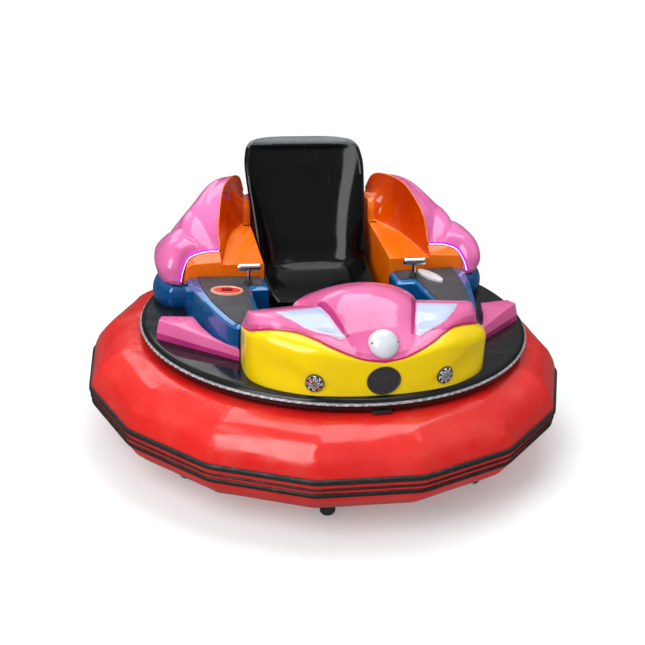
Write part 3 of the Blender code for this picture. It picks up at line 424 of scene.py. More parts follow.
BLUE = {"flake": 0.22, "metallic": 0.15, "coat": 0.7}
BLUE_EDGE = {"flake": 0.35, "metallic": 0.2, "coat": 0.8}
FINISHES = {
    "red_pvc": flexible_pvc(),
    "black_rubber": rubber("strake_rubber"),
    "tyre": rubber("tyre_rubber", (0.025, 0.024, 0.023), 0.6),
    "grille": rubber("grille_cloth", (0.030, 0.031, 0.034), 0.6),
    "black_gloss": black_gloss(),
    "strip_cover": strip_cover(),
    "diodes": diode_chips(),
    "steel": painted_steel("chassis_steel", (0.10, 0.10, 0.11)),
    "zinc": painted_steel("caster_plate", (0.045, 0.045, 0.046), 0.25),
    "rust_screw": painted_steel("rust_screw", (0.20, 0.14, 0.08), 0.9),
    "dark_block": block_plastic("dark_plastic"),
    "cream": block_plastic("cream_rim", (0.62, 0.50, 0.36)),
    "pink": gel_coat("pink_gel", (0.78, 0.165, 0.40), (0.68, 0.115, 0.31), flake=0.10),
    "wing_pink": gel_coat("wing_pink", (0.79, 0.180, 0.46), (0.70, 0.120, 0.35), flake=0.10),
    "pink_rim": gel_coat("pink_rim", (0.88, 0.42, 0.62)),
    "magenta": gel_coat("magenta_gel", (0.56, 0.008, 0.13), scuffs=0.2),
    # Painted shade: a darker copy of the pink, for the hood dome's sides and the fins' lower band
    "pink_painted_shade": gel_coat("pink_gel_painted_shade", (0.54, 0.045, 0.22), (0.44, 0.025, 0.17), scuffs=0.2),
    # Painted shade: a darker copy of the pink, for the band where the hood rolls down at the front
    "pink_edge_shade": gel_coat("pink_gel_edge_shade", (0.64, 0.095, 0.29), (0.56, 0.065, 0.23), flake=0.10),
    "yellow": gel_coat("yellow_gel", (0.92, 0.68, 0.0), (0.88, 0.62, 0.0), coat=0.15),
    "orange": gel_coat("orange_gel", (0.93, 0.190, 0.0), (0.85, 0.14, 0.0), flake=0.04, coat=0.15),
    # Painted shade: a darker copy of the orange, for the leaf's steep faces
    "orange_painted_shade": gel_coat("orange_gel_painted_shade", (0.72, 0.075, 0.0), (0.58, 0.040, 0.0), flake=0.04, coat=0.2),
    "blue": gel_coat("blue_gel", (0.003, 0.120, 0.36), (0.0, 0.070, 0.25), **BLUE),
    # Painted light: a lighter copy of the blue, for the pods' upward-facing rim
    "blue_painted_light": gel_coat("blue_edge_painted_light", (0.006, 0.155, 0.44), (0.0, 0.10, 0.32), **BLUE_EDGE),
    "cap_white": gel_coat("cap_white", (0.80, 0.82, 0.84), scuffs=0.3),
    "cap_black": gel_coat("cap_black", (0.008, 0.009, 0.012), scuffs=0.0),
    "salmon": gel_coat("salmon_paint", (0.72, 0.16, 0.12), scuffs=0.0),
    "peach": gel_coat("peach_bezel", (0.76, 0.40, 0.28), coat=0.8, scuffs=0.2),
    "dark_lens": gel_coat("dark_lens", (0.16, 0.008, 0.010), scuffs=0.0),
    "knob_white": gel_coat("knob_white", (0.66, 0.66, 0.70), scuffs=0.8),
    # Painted reflection: a lighter grey for the upward faces of the seat's top edge
    "seat_painted_sheen": gel_coat("seat_painted_sheen", (0.055, 0.062, 0.070), (0.040, 0.045, 0.052), roughness=0.3),
    "seat_black": seat_gloss(),
    "white": lamp_shell(),
    "panel": panel_film(),
    "console_grey": console_sheet(),
    "chrome": chrome(),
    "red_lens": lit("red_lens", (0.8, 0.03, 0.02), 0.25, (0.62, 0.03, 0.02)),
    "edge_glow": lit("edge_glow", (0.50, 0.01, 0.62), 0.85, (0.35, 0.02, 0.40)),
    "edge_diodes": lit("edge_diodes", (0.90, 0.84, 1.0), 1.5, (0.9, 0.9, 0.95)),
}


# Shape tools


def smooth(points, steps):
    """A Catmull-Rom line through the points, ends included."""
    pts = [np.array(p, float) for p in points]
    pts = [2 * pts[0] - pts[1], *pts, 2 * pts[-1] - pts[-2]]
    out = []
    for i in range(1, len(pts) - 2):
        p0, p1, p2, p3 = pts[i - 1 : i + 3]
        for j in range(steps):
            t = j / steps
            linear = 2 * p1 + (p2 - p0) * t
            square = (2 * p0 - 5 * p1 + 4 * p2 - p3) * t * t
            cube = (3 * p1 - p0 - 3 * p2 + p3) * t**3
            out.append(0.5 * (linear + square + cube))
    out.append(pts[-2])
    return out


def patch(rows, row_steps, point_steps):
    """A smooth grid through rows of control points."""
    fine = [smooth(row, point_steps) for row in rows]
    columns = [smooth(column, row_steps) for column in zip(*fine)]
    return [list(row) for row in zip(*columns)]


def fine(table, steps=8):
    """A table of rows, drawn out smoothly."""
    return [tuple(float(v) for v in row) for row in smooth(table, steps)]


def from_table(table, value):
    return float(np.interp(value, [row[0] for row in table], [row[1] for row in table]))


def mirrored(points, sign):
    return [(sign * p[0], p[1], p[2]) for p in points]


def inward(line, distance):
    """The plan line moved to its left by the distance; heights are kept."""
    out = []
    for i, p in enumerate(line):
        before, after = line[max(i - 1, 0)], line[min(i + 1, len(line) - 1)]
        along = Vector((after[0] - before[0], after[1] - before[1])).normalized()
        out.append((p[0] - along.y * distance, p[1] + along.x * distance, *p[2:]))
    return out


def neighbours(outline):
    """Each point of the closed outline, between the one before and the one after it."""
    points = [Vector(p[:2]) for p in outline]
    return zip(points[-1:] + points, points, points[1:] + points[:1])


def inset(outline, distance):
    """The closed outline moved inwards; it runs anticlockwise."""
    out = []
    for before, here, after in neighbours(outline):
        ways = (here - before).normalized(), (after - here).normalized()
        normals = [Vector((-way.y, way.x)) for way in ways]
        mid = (normals[0] + normals[1]).normalized()
        out.append(tuple(here + mid * distance / max(0.5, mid.dot(normals[1]))))
    return out


def resample(line, count):
    """The line's points at equal steps of its length."""
    pts = np.array([tuple(p) for p in line], float)
    steps = np.r_[0, np.cumsum(np.linalg.norm(np.diff(pts, axis=0), axis=1))]
    at = np.linspace(0, steps[-1], count)
    return [tuple(float(np.interp(a, steps, pts[:, k])) for k in range(pts.shape[1])) for a in at]


def bend(before, here, after, radius, room, steps=4):
    """Points of the rounded corner at here, which takes up a share of the room to its neighbours."""
    reach = min(radius, (before - here).length * room, (after - here).length * room)
    start = here + (before - here).normalized() * reach
    end = here + (after - here).normalized() * reach
    shares = [j / steps for j in range(steps + 1)]
    return [start * (1 - t) ** 2 + here * 2 * t * (1 - t) + end * t * t for t in shares]


def rounded_corners(outline, radius, steps=4):
    """A closed polygon with its corners rounded, where there is room for the radius."""
    corners = [bend(*three, radius, 0.45, steps) for three in neighbours(outline)]
    return [tuple(p) for corner in corners for p in corner]


def rounded_edge(radius):
    """How far in and how far down the points of an edge lie, from its side to its top."""
    angles = [math.radians(degrees) for degrees in (0, 22, 45, 67, 90)]
    return [(radius * (1 - math.cos(a)), radius * (1 - math.sin(a))) for a in angles]


def turns(count):
    """Equal angles of one full turn."""
    return [2 * math.pi * i / count for i in range(count)]


def piece(name, verts, faces, finish, sharp=35, shift=True):
    """A mesh that rides on the car's body. Its corners sharper than the angle stay sharp."""
    mesh = bpy.data.meshes.new(name)
    mesh.from_pydata([tuple(v) for v in verts], [], faces)
    work = bmesh.new()
    work.from_mesh(mesh)
    bmesh.ops.remove_doubles(work, verts=work.verts, dist=1e-6)
    bmesh.ops.recalc_face_normals(work, faces=work.faces)
    if work.calc_volume(signed=True) < 0:
        bmesh.ops.reverse_faces(work, faces=work.faces)
    work.to_mesh(mesh)
    work.free()
    mesh.shade_smooth()
    mesh.set_sharp_from_angle(angle=math.radians(sharp))
    obj = link(bpy.data.objects.new(name, mesh))
    if shift:
        obj.location = BODY_SHIFT
    mesh.materials.append(FINISHES[finish])
    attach(obj, "car")
    return obj


def second_finish(obj, finish, chosen):
    """Gives the faces that chosen picks another finish."""
    obj.data.materials.append(FINISHES[finish])
    index = len(obj.data.materials) - 1
    for face in obj.data.polygons:
        if chosen(face):
            face.material_index = index


def stands_for(obj, node):
    """Hides the node, whose place the piece takes."""
    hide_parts(node)


def loop_faces(count, rows, closed=False):
    """Faces between rows of points that each form a loop, with a cap at each end unless closed."""
    faces = []
    for i in range(rows if closed else rows - 1):
        a, b = i * count, (i + 1) % rows * count
        for j in range(count):
            k = (j + 1) % count
            faces.append((a + j, a + k, b + k, b + j))
    if not closed:
        faces.append(tuple(range(count)))
        faces.append(tuple(range((rows - 1) * count, rows * count)))
    return faces


def loops(name, sections, finish, closed=False, **more):
    verts = [p for section in sections for p in section]
    faces = loop_faces(len(sections[0]), len(sections), closed=closed)
    return piece(name, verts, faces, finish, **more)


def shell(name, outer, inner, finish, **more):
    """A skin between two grids of points of the same size, closed round its border."""
    rows, columns = len(outer), len(outer[0])
    verts = [p for row in outer for p in row] + [p for row in inner for p in row]
    step = rows * columns
    faces = []
    for i in range(rows - 1):
        for j in range(columns - 1):
            a = i * columns + j
            quad = (a, a + 1, a + columns + 1, a + columns)
            faces.append(quad)
            faces.append(tuple(v + step for v in reversed(quad)))
    border = list(range(columns))
    border += [i * columns + columns - 1 for i in range(1, rows)]
    border += [(rows - 1) * columns + j for j in range(columns - 2, -1, -1)]
    border += [i * columns for i in range(rows - 2, 0, -1)]
    for a, b in zip(border, border[1:] + border[:1]):
        faces.append((a, a + step, b + step, b))
    return piece(name, verts, faces, finish, **more)


def lathe_mesh(profile, sides, axis=(0, 0, 1), centre=(0, 0, 0)):
    """Points and faces of a closed profile (radius, height) turned round an axis through the centre."""
    turn = Vector((0, 0, 1)).rotation_difference(Vector(axis)).to_matrix()
    verts, faces = [], []
    count = len(profile)
    for angle in turns(sides):
        for r, h in profile:
            local = Vector((r * math.cos(angle), r * math.sin(angle), h))
            verts.append(turn @ local + Vector(centre))
    for i in range(sides):
        a, b = i * count, (i + 1) % sides * count
        for j in range(count):
            k = (j + 1) % count
            if profile[j][0] and profile[k][0]:
                faces.append((a + j, a + k, b + k, b + j))
            elif profile[k][0]:
                faces.append((j, a + k, b + k))
            elif profile[j][0]:
                faces.append((a + j, k, b + j))
    return verts, faces


def lathe(name, profile, sides, finish, axis=(0, 0, 1), centre=(0, 0, 0), **more):
    verts, faces = lathe_mesh(profile, sides, axis, centre)
    return piece(name, verts, faces, finish, **more)


def joined(name, parts, finish, **more):
    """One piece from several closed bodies, each (points, faces)."""
    verts, faces = [], []
    for points, sides in parts:
        start = len(verts)
        verts += [tuple(p) for p in points]
        faces += [tuple(v + start for v in face) for face in sides]
    return piece(name, verts, faces, finish, **more)


def bead(name, path, radius, finish, sides=8):
    """A round bead along a path."""
    path = [Vector(p) for p in path]
    sections = []
    for i, here in enumerate(path):
        along = (path[min(i + 1, len(path) - 1)] - path[max(i - 1, 0)]).normalized()
        side = along.cross(Vector((0, 0, 1))).normalized()
        over = side.cross(along)
        circle = [side * radius * math.cos(a) + over * radius * math.sin(a) for a in turns(sides)]
        sections.append([here + p for p in circle])
    loops(name, sections, finish)


def block_mesh(centre, along, over, length, width, height):
    """A small box whose length runs along one direction and height along another."""
    along, over = Vector(along).normalized(), Vector(over).normalized()
    side = over.cross(along).normalized()
    over = along.cross(side)
    verts = []
    for h in (-0.5, 0.5):
        for a, s in ((-0.5, -0.5), (0.5, -0.5), (0.5, 0.5), (-0.5, 0.5)):
            verts.append(Vector(centre) + along * length * a + side * width * s + over * height * h)
    faces = [(0, 3, 2, 1), (4, 5, 6, 7), (0, 1, 5, 4), (1, 2, 6, 5), (2, 3, 7, 6), (3, 0, 4, 7)]
    return verts, faces


def both(*builders):
    """Builds a left (-X) and a right (+X) copy."""
    for label, sign in (("left", -1), ("right", 1)):
        for build in builders:
            build(label, sign)


# Ring

PANEL_STEPS = 16
PANEL_BUNCH = 0.72
RING_POINTS = 96
# How much the ring narrows at a seam, as a share, and over what distance
PINCH, PINCH_REACH = 0.0022, 0.012
# The flat weld with the line in its middle: height and half width, depth and half width
WELD, WELD_HALF = 0.0009, 0.010
LINE_DEPTH, LINE_HALF = 0.0012, 0.0035
# Gathers beside the seam: height, reach, and how fine they are round the section, by seam and away
GATHER, GATHER_REACH = 0.0030, 0.045
GATHER_PATTERN = (7.0, 3.7, 9.0)
# Soft lumps: size of the pattern, height
LUMPS = ((4.0, 0.0022), (11.0, 0.0007))
STRAKE_KEEP_OUT = 0.42
STRAKE_BED = -0.001
# name, lower and upper height from the ring's middle, thickness
STRAKES = (
    ("ring_strake_upper", 0.0005, 0.0195, 0.008),
    ("ring_strake_middle", -0.0190, -0.0110, 0.005),
    ("ring_strake_lower", -0.0460, -0.0300, 0.006),
)
# thickness over the strake's width, as a share
STRAKE_SHAPE = (0.30, 0.72, 0.90, 1.00, 0.93, 0.90, 0.93, 1.00, 0.90, 0.72, 0.30)


def ring_steps():
    """Angle round the ring, radius share, distance from the nearest seam and panel number."""
    step = 2 * math.pi / RING_SIDES
    chord = 2 * (RING_MID_R + RING_HALF_WIDTH) * math.sin(step / 2)
    out = []
    for i in range(RING_SIDES):
        for j in range(PANEL_STEPS):
            t = j / PANEL_STEPS
            u = t - PANEL_BUNCH * math.sin(2 * math.pi * t) / (2 * math.pi)
            away = min(u, 1 - u) * chord
            share = math.cos(step / 2) / math.cos((u - 0.5) * step)
            share -= PINCH * math.exp(-((away / PINCH_REACH) ** 2))
            out.append((RING_TURN - math.pi / 2 + (i + u) * step, share, away, i + round(u)))
    return out


def ring_skin(angle, out=0.0):
    """A point (radius, height) of the ring's section, moved outwards by out."""
    c, s = math.cos(angle), math.sin(angle)
    normal = Vector((c / RING_HALF_WIDTH, s / RING_HALF_HEIGHT)).normalized()
    return (
        RING_MID_R + RING_HALF_WIDTH * c + out * normal.x,
        RING_Z + RING_HALF_HEIGHT * s + out * normal.y,
    )


def ring_relief(section, around, away, seam):
    """How far the skin stands out: a welded seam, gathers beside it and soft lumps."""
    place = Vector((math.cos(around), math.sin(around), section))
    calm = min(1.0, abs(math.remainder(section, 2 * math.pi)) / STRAKE_KEEP_OUT)
    weld = WELD * math.exp(-((away / WELD_HALF) ** 4))
    weld -= LINE_DEPTH * math.exp(-((away / LINE_HALF) ** 2))
    gather = noise.noise(Vector((section, seam, away)) * Vector(GATHER_PATTERN))
    gather *= GATHER * math.exp(-away / GATHER_REACH)
    lumps = sum(noise.noise(place * size) * height for size, height in LUMPS)
    return weld + (gather + lumps) * calm


def build_skin(steps):
    sections = []
    for around, share, away, seam in steps:
        row = []
        for angle in turns(RING_POINTS):
            r, z = ring_skin(angle, ring_relief(angle, around, away, seam))
            row.append((r * share * math.cos(around), r * share * math.sin(around), z))
        sections.append(row)
    tube = loops("ring_skin", sections, "red_pvc", closed=True, shift=False)
    stands_for(tube, "ring_tube")


def build_strake(steps, name, low, high, thick):
    start, end = math.asin(low / RING_HALF_HEIGHT), math.asin(high / RING_HALF_HEIGHT)
    last = len(STRAKE_SHAPE) - 1
    angles = [start + (end - start) * t / last for t in range(last + 1)]
    outer = [ring_skin(a, thick * share) for a, share in zip(angles, STRAKE_SHAPE)]
    inner = [ring_skin(a, STRAKE_BED) for a in reversed(angles)]
    rows = []
    for around, share, *_ in steps:
        c, s = math.cos(around) * share, math.sin(around) * share
        rows.append([(r * c, r * s, z) for r, z in outer + inner])
    strake = loops(f"{name}_rubber", rows, "black_rubber", closed=True, shift=False)
    stands_for(strake, name)


def build_ring():
    steps = ring_steps()
    build_skin(steps)
    for strake in STRAKES:
        build_strake(steps, *strake)


# Deck

DECK_SIDES = 240
DECK_LIP = 0.020
RIM_OUTER_R = DECK_R + RIM_R
GROOVE_HALF = 0.005
GROOVE_DEPTH = 0.004
GROOVE_RISE = 0.005
GROOVE_Z = RIM_Z + GROOVE_RISE
STRIP_R = 0.0042
STRIP_OUT = -0.0022
STRIP_BACK = -0.0070
# Length, width and height of the small blocks
DIODE_COUNT = 150
DIODE_OUT = 0.0017
DIODE_SIZE = (0.0070, 0.0030, 0.0012)
CLAMP_TURN = math.radians(-90.5)
CLAMP_Z = RIM_Z - 0.020
CLAMP_OUT = -0.004
CLAMP_SIZE = (0.058, 0.008, 0.012)
BOLT_OUT = 0.002
BOLT_SIZE = (0.010, 0.006, 0.006)
BOLTS_AT = (-0.02, 0, 0.02)


def carve(obj, cutter):
    """Cuts the cutter out of the object, for good."""
    step = obj.modifiers.new("cut", "BOOLEAN")
    step.operation = "DIFFERENCE"
    step.solver = "EXACT"
    step.object = cutter
    graph = bpy.context.evaluated_depsgraph_get()
    made = bpy.data.meshes.new_from_object(obj.evaluated_get(graph))
    obj.modifiers.clear()
    obj.data = made
    bpy.data.objects.remove(cutter)
    made.shade_smooth()
    made.set_sharp_from_angle(angle=math.radians(35))


def rim_profile():
    """The deck's half-round rim, with a groove for the light strip."""
    out = []
    for j in range(1, 25):
        angle = math.radians(90 - 7.5 * j)
        rise = RIM_R * math.sin(angle)
        groove = GROOVE_DEPTH if abs(rise - GROOVE_RISE) < GROOVE_HALF else 0.0
        out.append((DECK_R + RIM_R * math.cos(angle) - groove, RIM_Z + rise))
    return out


def build_deck():
    top = [(DECK_R * share, DECK_TOP) for share in (0.0, 0.9, 1.0)]
    under = DECK_TOP - DECK_T
    lip = DECK_R - DECK_LIP
    profile = [*top, *rim_profile(), (lip, RIM_Z - RIM_R), (lip, under), (0, under)]
    deck = lathe("deck_sheet", profile, DECK_SIDES, "black_gloss")
    side, front, back = TUB_X + GAP, TUB_FRONT - GAP, TUB_BACK + GAP
    corners = rounded_corners([(-side, front), (side, front), (side, back), (-side, back)], 0.002, 2)
    sections = [[(x, y, z) for x, y in corners] for z in (under - 0.01, DECK_TOP + 0.01)]
    carve(deck, loops("deck_opening", sections, "black_gloss"))
    stands_for(deck, "deck")


def rim_place(angle, out, z):
    """A place on the rim with its directions outwards and along the rim."""
    way = Vector((math.cos(angle), math.sin(angle), 0))
    return way * (RIM_OUTER_R + out) + Vector((0, 0, z)), way, Vector((-way.y, way.x, 0))


def build_rim():
    strip = []
    for j in range(9):
        angle = math.radians(-90 + 22.5 * j)
        r = RIM_OUTER_R + STRIP_OUT + STRIP_R * math.cos(angle)
        strip.append((r, GROOVE_Z + STRIP_R * math.sin(angle)))
    strip += [(RIM_OUTER_R + STRIP_BACK, GROOVE_Z + side * STRIP_R) for side in (1, -1)]
    stands_for(lathe("rim_strip", strip, DECK_SIDES, "strip_cover"), "rim_light")
    chips = []
    for i in range(DIODE_COUNT):
        centre, way, along = rim_place(2 * math.pi * (i + 0.5) / DIODE_COUNT, DIODE_OUT, GROOVE_Z)
        chips.append(block_mesh(centre, along, way, *DIODE_SIZE))
    joined("rim_diodes", chips, "diodes")
    centre, way, along = rim_place(CLAMP_TURN, CLAMP_OUT, CLAMP_Z)
    clamp = [block_mesh(centre, along, way, *CLAMP_SIZE)]
    centre, way, along = rim_place(CLAMP_TURN, BOLT_OUT, CLAMP_Z)
    clamp += [block_mesh(centre + along * at, along, way, *BOLT_SIZE) for at in BOLTS_AT]
    joined("rim_clamp", clamp, "zinc")


# Nose band and hood

# x, y at the foot, height of the top edge over the deck, how far the top edge leans back
NOSE_STATIONS = (
    (0.000, -0.662, 0.1075, 0.004),
    (0.060, -0.661, 0.1165, 0.006),
    (0.110, -0.656, 0.1315, 0.012),
    (0.160, -0.648, 0.1495, 0.022),
    (0.205, -0.637, 0.1645, 0.036),
    (0.255, -0.617, 0.1705, 0.050),
    (0.305, -0.588, 0.1645, 0.055),
    (0.345, -0.556, 0.1535, 0.052),
    (0.375, -0.516, 0.1395, 0.042),
    (0.389, -0.470, 0.1275, 0.030),
    (0.392, -0.420, 0.1155, 0.024),
    (0.391, -0.369, 0.1065, 0.020),
)
# How much higher the hand-trimmed top edge runs toward each end, and how much less it leans back:
# distance from the middle, rise or lean
NOSE_LEFT_RISE = (
    (0.225, 0.000),
    (0.260, 0.004),
    (0.305, 0.015),
    (0.345, 0.024),
    (0.375, 0.027),
    (0.392, 0.020),
)
NOSE_LEFT_LEAN = ((0.260, 0.0), (0.305, 0.010), (0.345, 0.020), (0.375, 0.024), (0.392, 0.016))
NOSE_RIGHT_RISE = ((0.300, 0.0), (0.345, 0.003), (0.375, 0.007), (0.392, 0.007))
# The band's shallow hollow, which sweeps up from each cap to the corner:
# distance from the middle; then the height of its middle line, its half width and its depth
HOLLOW_MIDDLE = ((0.16, 0.028), (0.22, 0.040), (0.29, 0.066), (0.36, 0.078), (0.42, 0.080))
HOLLOW_HALF = ((0.14, 0.002), (0.20, 0.030), (0.30, 0.052), (0.40, 0.058))
HOLLOW_DEPTH = ((0.13, 0.0), (0.19, 0.0055), (0.28, 0.008), (0.345, 0.006), (0.375, 0.0))
NOSE_STEPS = 8
NOSE_WALL = 0.008
NOSE_STRAIGHT_STEPS = 10
NOSE_ROUND_STEPS = 10
NOSE_ROUND_END = math.radians(60)
NOSE_ROUND_SHARE = 0.9
NOSE_LEAST_LEAN = 0.004
HOOD_SKIN = 0.006


def nose_line():
    """The foot of the nose band from the left end to the right, with its top height and lean."""
    right = smooth(NOSE_STATIONS, NOSE_STEPS)
    left = []
    for x, y, top, lean in reversed(right[1:]):
        lean = max(lean - from_table(NOSE_LEFT_LEAN, x), NOSE_LEAST_LEAN)
        left.append((-x, y, top + from_table(NOSE_LEFT_RISE, x), lean))
    return left + [(x, y, top + from_table(NOSE_RIGHT_RISE, x), lean) for x, y, top, lean in right]


def nose_rise(top, lean, k):
    """(lean, height) of level k up the band's face: straight, then rounded back to the top edge."""
    round_height = NOSE_ROUND_SHARE * lean + NOSE_LEAST_LEAN
    if k < NOSE_STRAIGHT_STEPS:
        return 0.0, (top - round_height) * k / NOSE_STRAIGHT_STEPS
    angle = NOSE_ROUND_END * (k - NOSE_STRAIGHT_STEPS) / NOSE_ROUND_STEPS
    back = lean * (1 - math.cos(angle)) / (1 - math.cos(NOSE_ROUND_END))
    return back, top - round_height + round_height * math.sin(angle) / math.sin(NOSE_ROUND_END)


def hollow(x, height):
    """Depth of the band's hollow at a height over the deck."""
    share = (height - from_table(HOLLOW_MIDDLE, abs(x))) / from_table(HOLLOW_HALF, abs(x))
    return from_table(HOLLOW_DEPTH, abs(x)) * max(0.0, 1 - share * share) ** 1.5


def edge_place(line, i, distance):
    """x and y of point i of the plan line, moved inwards."""
    moved = inward(line[max(i - 1, 0) : i + 2], distance)
    return moved[min(i, 1)][:2]


def nose_grid(wall):
    """Points of the band's face, moved inwards by the wall."""
    line = nose_line()
    levels = []
    for k in range(NOSE_STRAIGHT_STEPS + NOSE_ROUND_STEPS + 1):
        level = []
        for i, (x, _, top, lean) in enumerate(line):
            back, up = nose_rise(top, lean, k)
            depth = 0.0 if wall else hollow(x, up)
            level.append((*edge_place(line, i, back + wall + depth), BASE + up))
        levels.append(level)
    return levels


def build_nose():
    band = shell("nose_skin", nose_grid(0.0), nose_grid(NOSE_WALL), "yellow")
    stands_for(band, "nose_fascia")


# Height of the shoulders over the deck against y
SHOULDER_LINE = fine((
    (-0.670, 0.104),
    (-0.630, 0.142),
    (-0.602, 0.168),
    (-0.594, 0.1748),
    (-0.586, 0.1785),
    (-0.550, 0.190),
    (-0.500, 0.209),
    (-0.460, 0.216),
    (-0.420, 0.213),
    (-0.360, 0.193),
    (-0.300, 0.168),
    (-0.250, 0.145),
))
# Height of the middle dome over the shoulders against y
DOME_LINE = fine((
    (-0.670, 0.000),
    (-0.630, 0.004),
    (-0.600, 0.010),
    (-0.550, 0.024),
    (-0.500, 0.032),
    (-0.440, 0.042),
    (-0.390, 0.052),
    (-0.330, 0.060),
    (-0.270, 0.056),
))
SHOULDER_FALL = 0.06
DOME_NARROW = 0.090
DOME_SPREAD = 0.33
DOME_FRONT_Y = -0.645
# Powers that make the dome's section flat on top and steep at its sides
DOME_FLAT, DOME_STEEP = 2.6, 0.7
# Over this distance the hood's edge rolls down, or up, to the nose band
EDGE_ROLL = 0.075
ROLL_DOWN, ROLL_UP = 3, 1.5
# The hood's rear edge from the middle to the right corner: x, y
HOOD_REAR = (
    (0.000, -0.262),
    (0.120, -0.270),
    (0.215, -0.285),
    (0.300, -0.300),
    (0.352, -0.325),
    (0.368, -0.352),
)
HOOD_ROWS = 72
HOOD_BUNCH = 1.25
DOME_COLUMNS = 36
SIDE_COLUMNS = 44
PIPING_R = 0.0042
PIPING_OUT, PIPING_UP = 0.0010, 0.0030


def dome_half(y):
    return DOME_NARROW + DOME_SPREAD * (y - DOME_FRONT_Y)


def hood_surface(x, y):
    """Height over the deck before the hood's edge is rolled down to the nose band."""
    shoulder = from_table(SHOULDER_LINE, y) - SHOULDER_FALL * abs(x)
    share = abs(x) / dome_half(y)
    dome = from_table(DOME_LINE, y) * (1 - share**DOME_FLAT) ** DOME_STEEP if share < 1 else 0.0
    return shoulder + dome


def split_line(line):
    """The right half of a front or rear line, resampled so that one column follows the dome's edge."""
    points = resample(line, 400)
    at = next(i for i, p in enumerate(points) if p[0] > dome_half(p[1]))
    inner = resample(points[: at + 1], DOME_COLUMNS + 1)
    outer = resample(points[at:], SIDE_COLUMNS + 1)
    return inner + outer[1:]


def other_side(line):
    """A half line on the right, mirrored to the left without its middle point."""
    return [(-p[0], *p[1:]) for p in reversed(line[1:])]


def hood_lines():
    """Front edge (x, y, height) and rear edge (x, y) from the left end to the right."""
    line = nose_line()
    front = [(*edge_place(line, i, p[3]), p[2] + GAP) for i, p in enumerate(line)]
    middle = len(front) // 2
    right = split_line(front[middle:])
    left = split_line([(-p[0], *p[1:]) for p in reversed(front[: middle + 1])])
    back = split_line(smooth(HOOD_REAR, 12))
    return other_side(left) + right, other_side(back) + back


def hood_height(x, y, fx, fy, top):
    """Height over the deck of the hood's skin, where fx, fy, top is the front edge it runs down to."""
    away = min(1.0, math.dist((x, y), (fx, fy)) / EDGE_ROLL)
    roll = hood_surface(fx, fy) - top - HOOD_SKIN
    roll *= (1 - away) ** (ROLL_DOWN if roll > 0 else ROLL_UP)
    return hood_surface(x, y) - roll


def hood_grid(rise, lines):
    rows = []
    for k in range(HOOD_ROWS + 1):
        share = (k / HOOD_ROWS) ** HOOD_BUNCH
        row = []
        for (fx, fy, top), (bx, by) in zip(*lines):
            x, y = fx + (bx - fx) * share, fy + (by - fy) * share
            row.append((x, y, BASE + hood_height(x, y, fx, fy, top) + rise))
        rows.append(row)
    return rows


def hood_lift(x, y, lines):
    """World height of the hood's skin at a place on it."""
    front = min(lines[0], key=lambda p: math.dist(p[:2], (x, y)))
    return BASE + hood_height(x, y, *front)


# Lens panel on the right shoulder: x, y along the edge beside the dome, then along the outer edge
PANEL_INNER = ((0.114, -0.600), (0.130, -0.543), (0.144, -0.497), (0.154, -0.463), (0.160, -0.448))
PANEL_OUTER = ((0.122, -0.604), (0.168, -0.582), (0.217, -0.546), (0.261, -0.504), (0.293, -0.452))
PANEL_ROWS = 22
PANEL_COLUMNS = 14
PANEL_T = 0.002
# Its border is lower than its middle: share of the lift that is left, how steeply it rises
PANEL_BORDER, PANEL_STEEP = 0.35, 8
# The panel and the seat it lies in: name, lift off the hood, growth of its border, finish, slot
PANEL_LAYERS = (
    ("lens_panel", 0.0030, 0.0, "panel", "white"),
    ("lens_seat", 0.0014, 0.0030, "pink_rim", "pink"),
)
# Painted shade on the hood: a darker pink along the dome's sides, and a darker band along the front edge
# where it rolls down
DARK_SIDE_Y = (-0.600, -0.430)
DARK_SIDE_FROM = 0.90
EDGE_SHADE_BAND = 0.013


def panel_grid(lift, grow, lines):
    """A triangular patch that follows the hood; grow moves its border outwards."""
    inner, outer = (resample(smooth(line, 6), PANEL_ROWS + 1) for line in (PANEL_INNER, PANEL_OUTER))
    rows = []
    for i, (a, b) in enumerate(zip(inner, outer)):
        a, b = Vector(a), Vector(b)
        across = (b - a).normalized()
        end = (i / PANEL_ROWS - 0.5) * 2 * grow
        row = []
        for j in range(PANEL_COLUMNS + 1):
            t = j / PANEL_COLUMNS
            at = a + (b - a) * t + across * grow * (2 * t - 1) + Vector((-across.y, across.x)) * end
            inside = min(t, 1 - t, i / PANEL_ROWS, 1 - i / PANEL_ROWS)
            share = PANEL_BORDER + (1 - PANEL_BORDER) * min(1.0, PANEL_STEEP * inside) ** 0.5
            row.append((at.x, at.y, hood_lift(at.x, at.y, lines) + lift * share))
        rows.append(row)
    return rows


def build_hood():
    lines = hood_lines()
    hood = shell("hood_skin", hood_grid(0.0, lines), hood_grid(-HOOD_SKIN, lines), "pink", sharp=30)
    stands_for(hood, "hood")

    def is_dome_side(face):
        y = face.center.y
        share = abs(face.center.x) / dome_half(y)
        return DARK_SIDE_Y[0] < y < DARK_SIDE_Y[1] and DARK_SIDE_FROM < share < 1.0

    def is_low_edge(face):
        return face.center.y < from_table(lines[0], face.center.x) + EDGE_SHADE_BAND

    # The dome's sides and the band along the front edge get painted shade, as darker copies of the pink.
    second_finish(hood, "pink_painted_shade", is_dome_side)
    second_finish(hood, "pink_edge_shade", is_low_edge)

    def panel(label, sign):
        for name, lift, grow, finish, slot in PANEL_LAYERS:
            top = [mirrored(row, sign) for row in panel_grid(lift, grow, lines)]
            low = [[(x, y, z - lift - PANEL_T) for x, y, z in row] for row in top]
            shell(f"{name}_{label}", top, low, finish)

    both(panel)
    front = [(x, y - PIPING_OUT, BASE + top + PIPING_UP) for x, y, top in lines[0]]
    bead("hood_piping", resample(front, 160), PIPING_R, "magenta")


# Lamp, disc and caps on the nose; the rims' sections are (radius from the piece's own, height)

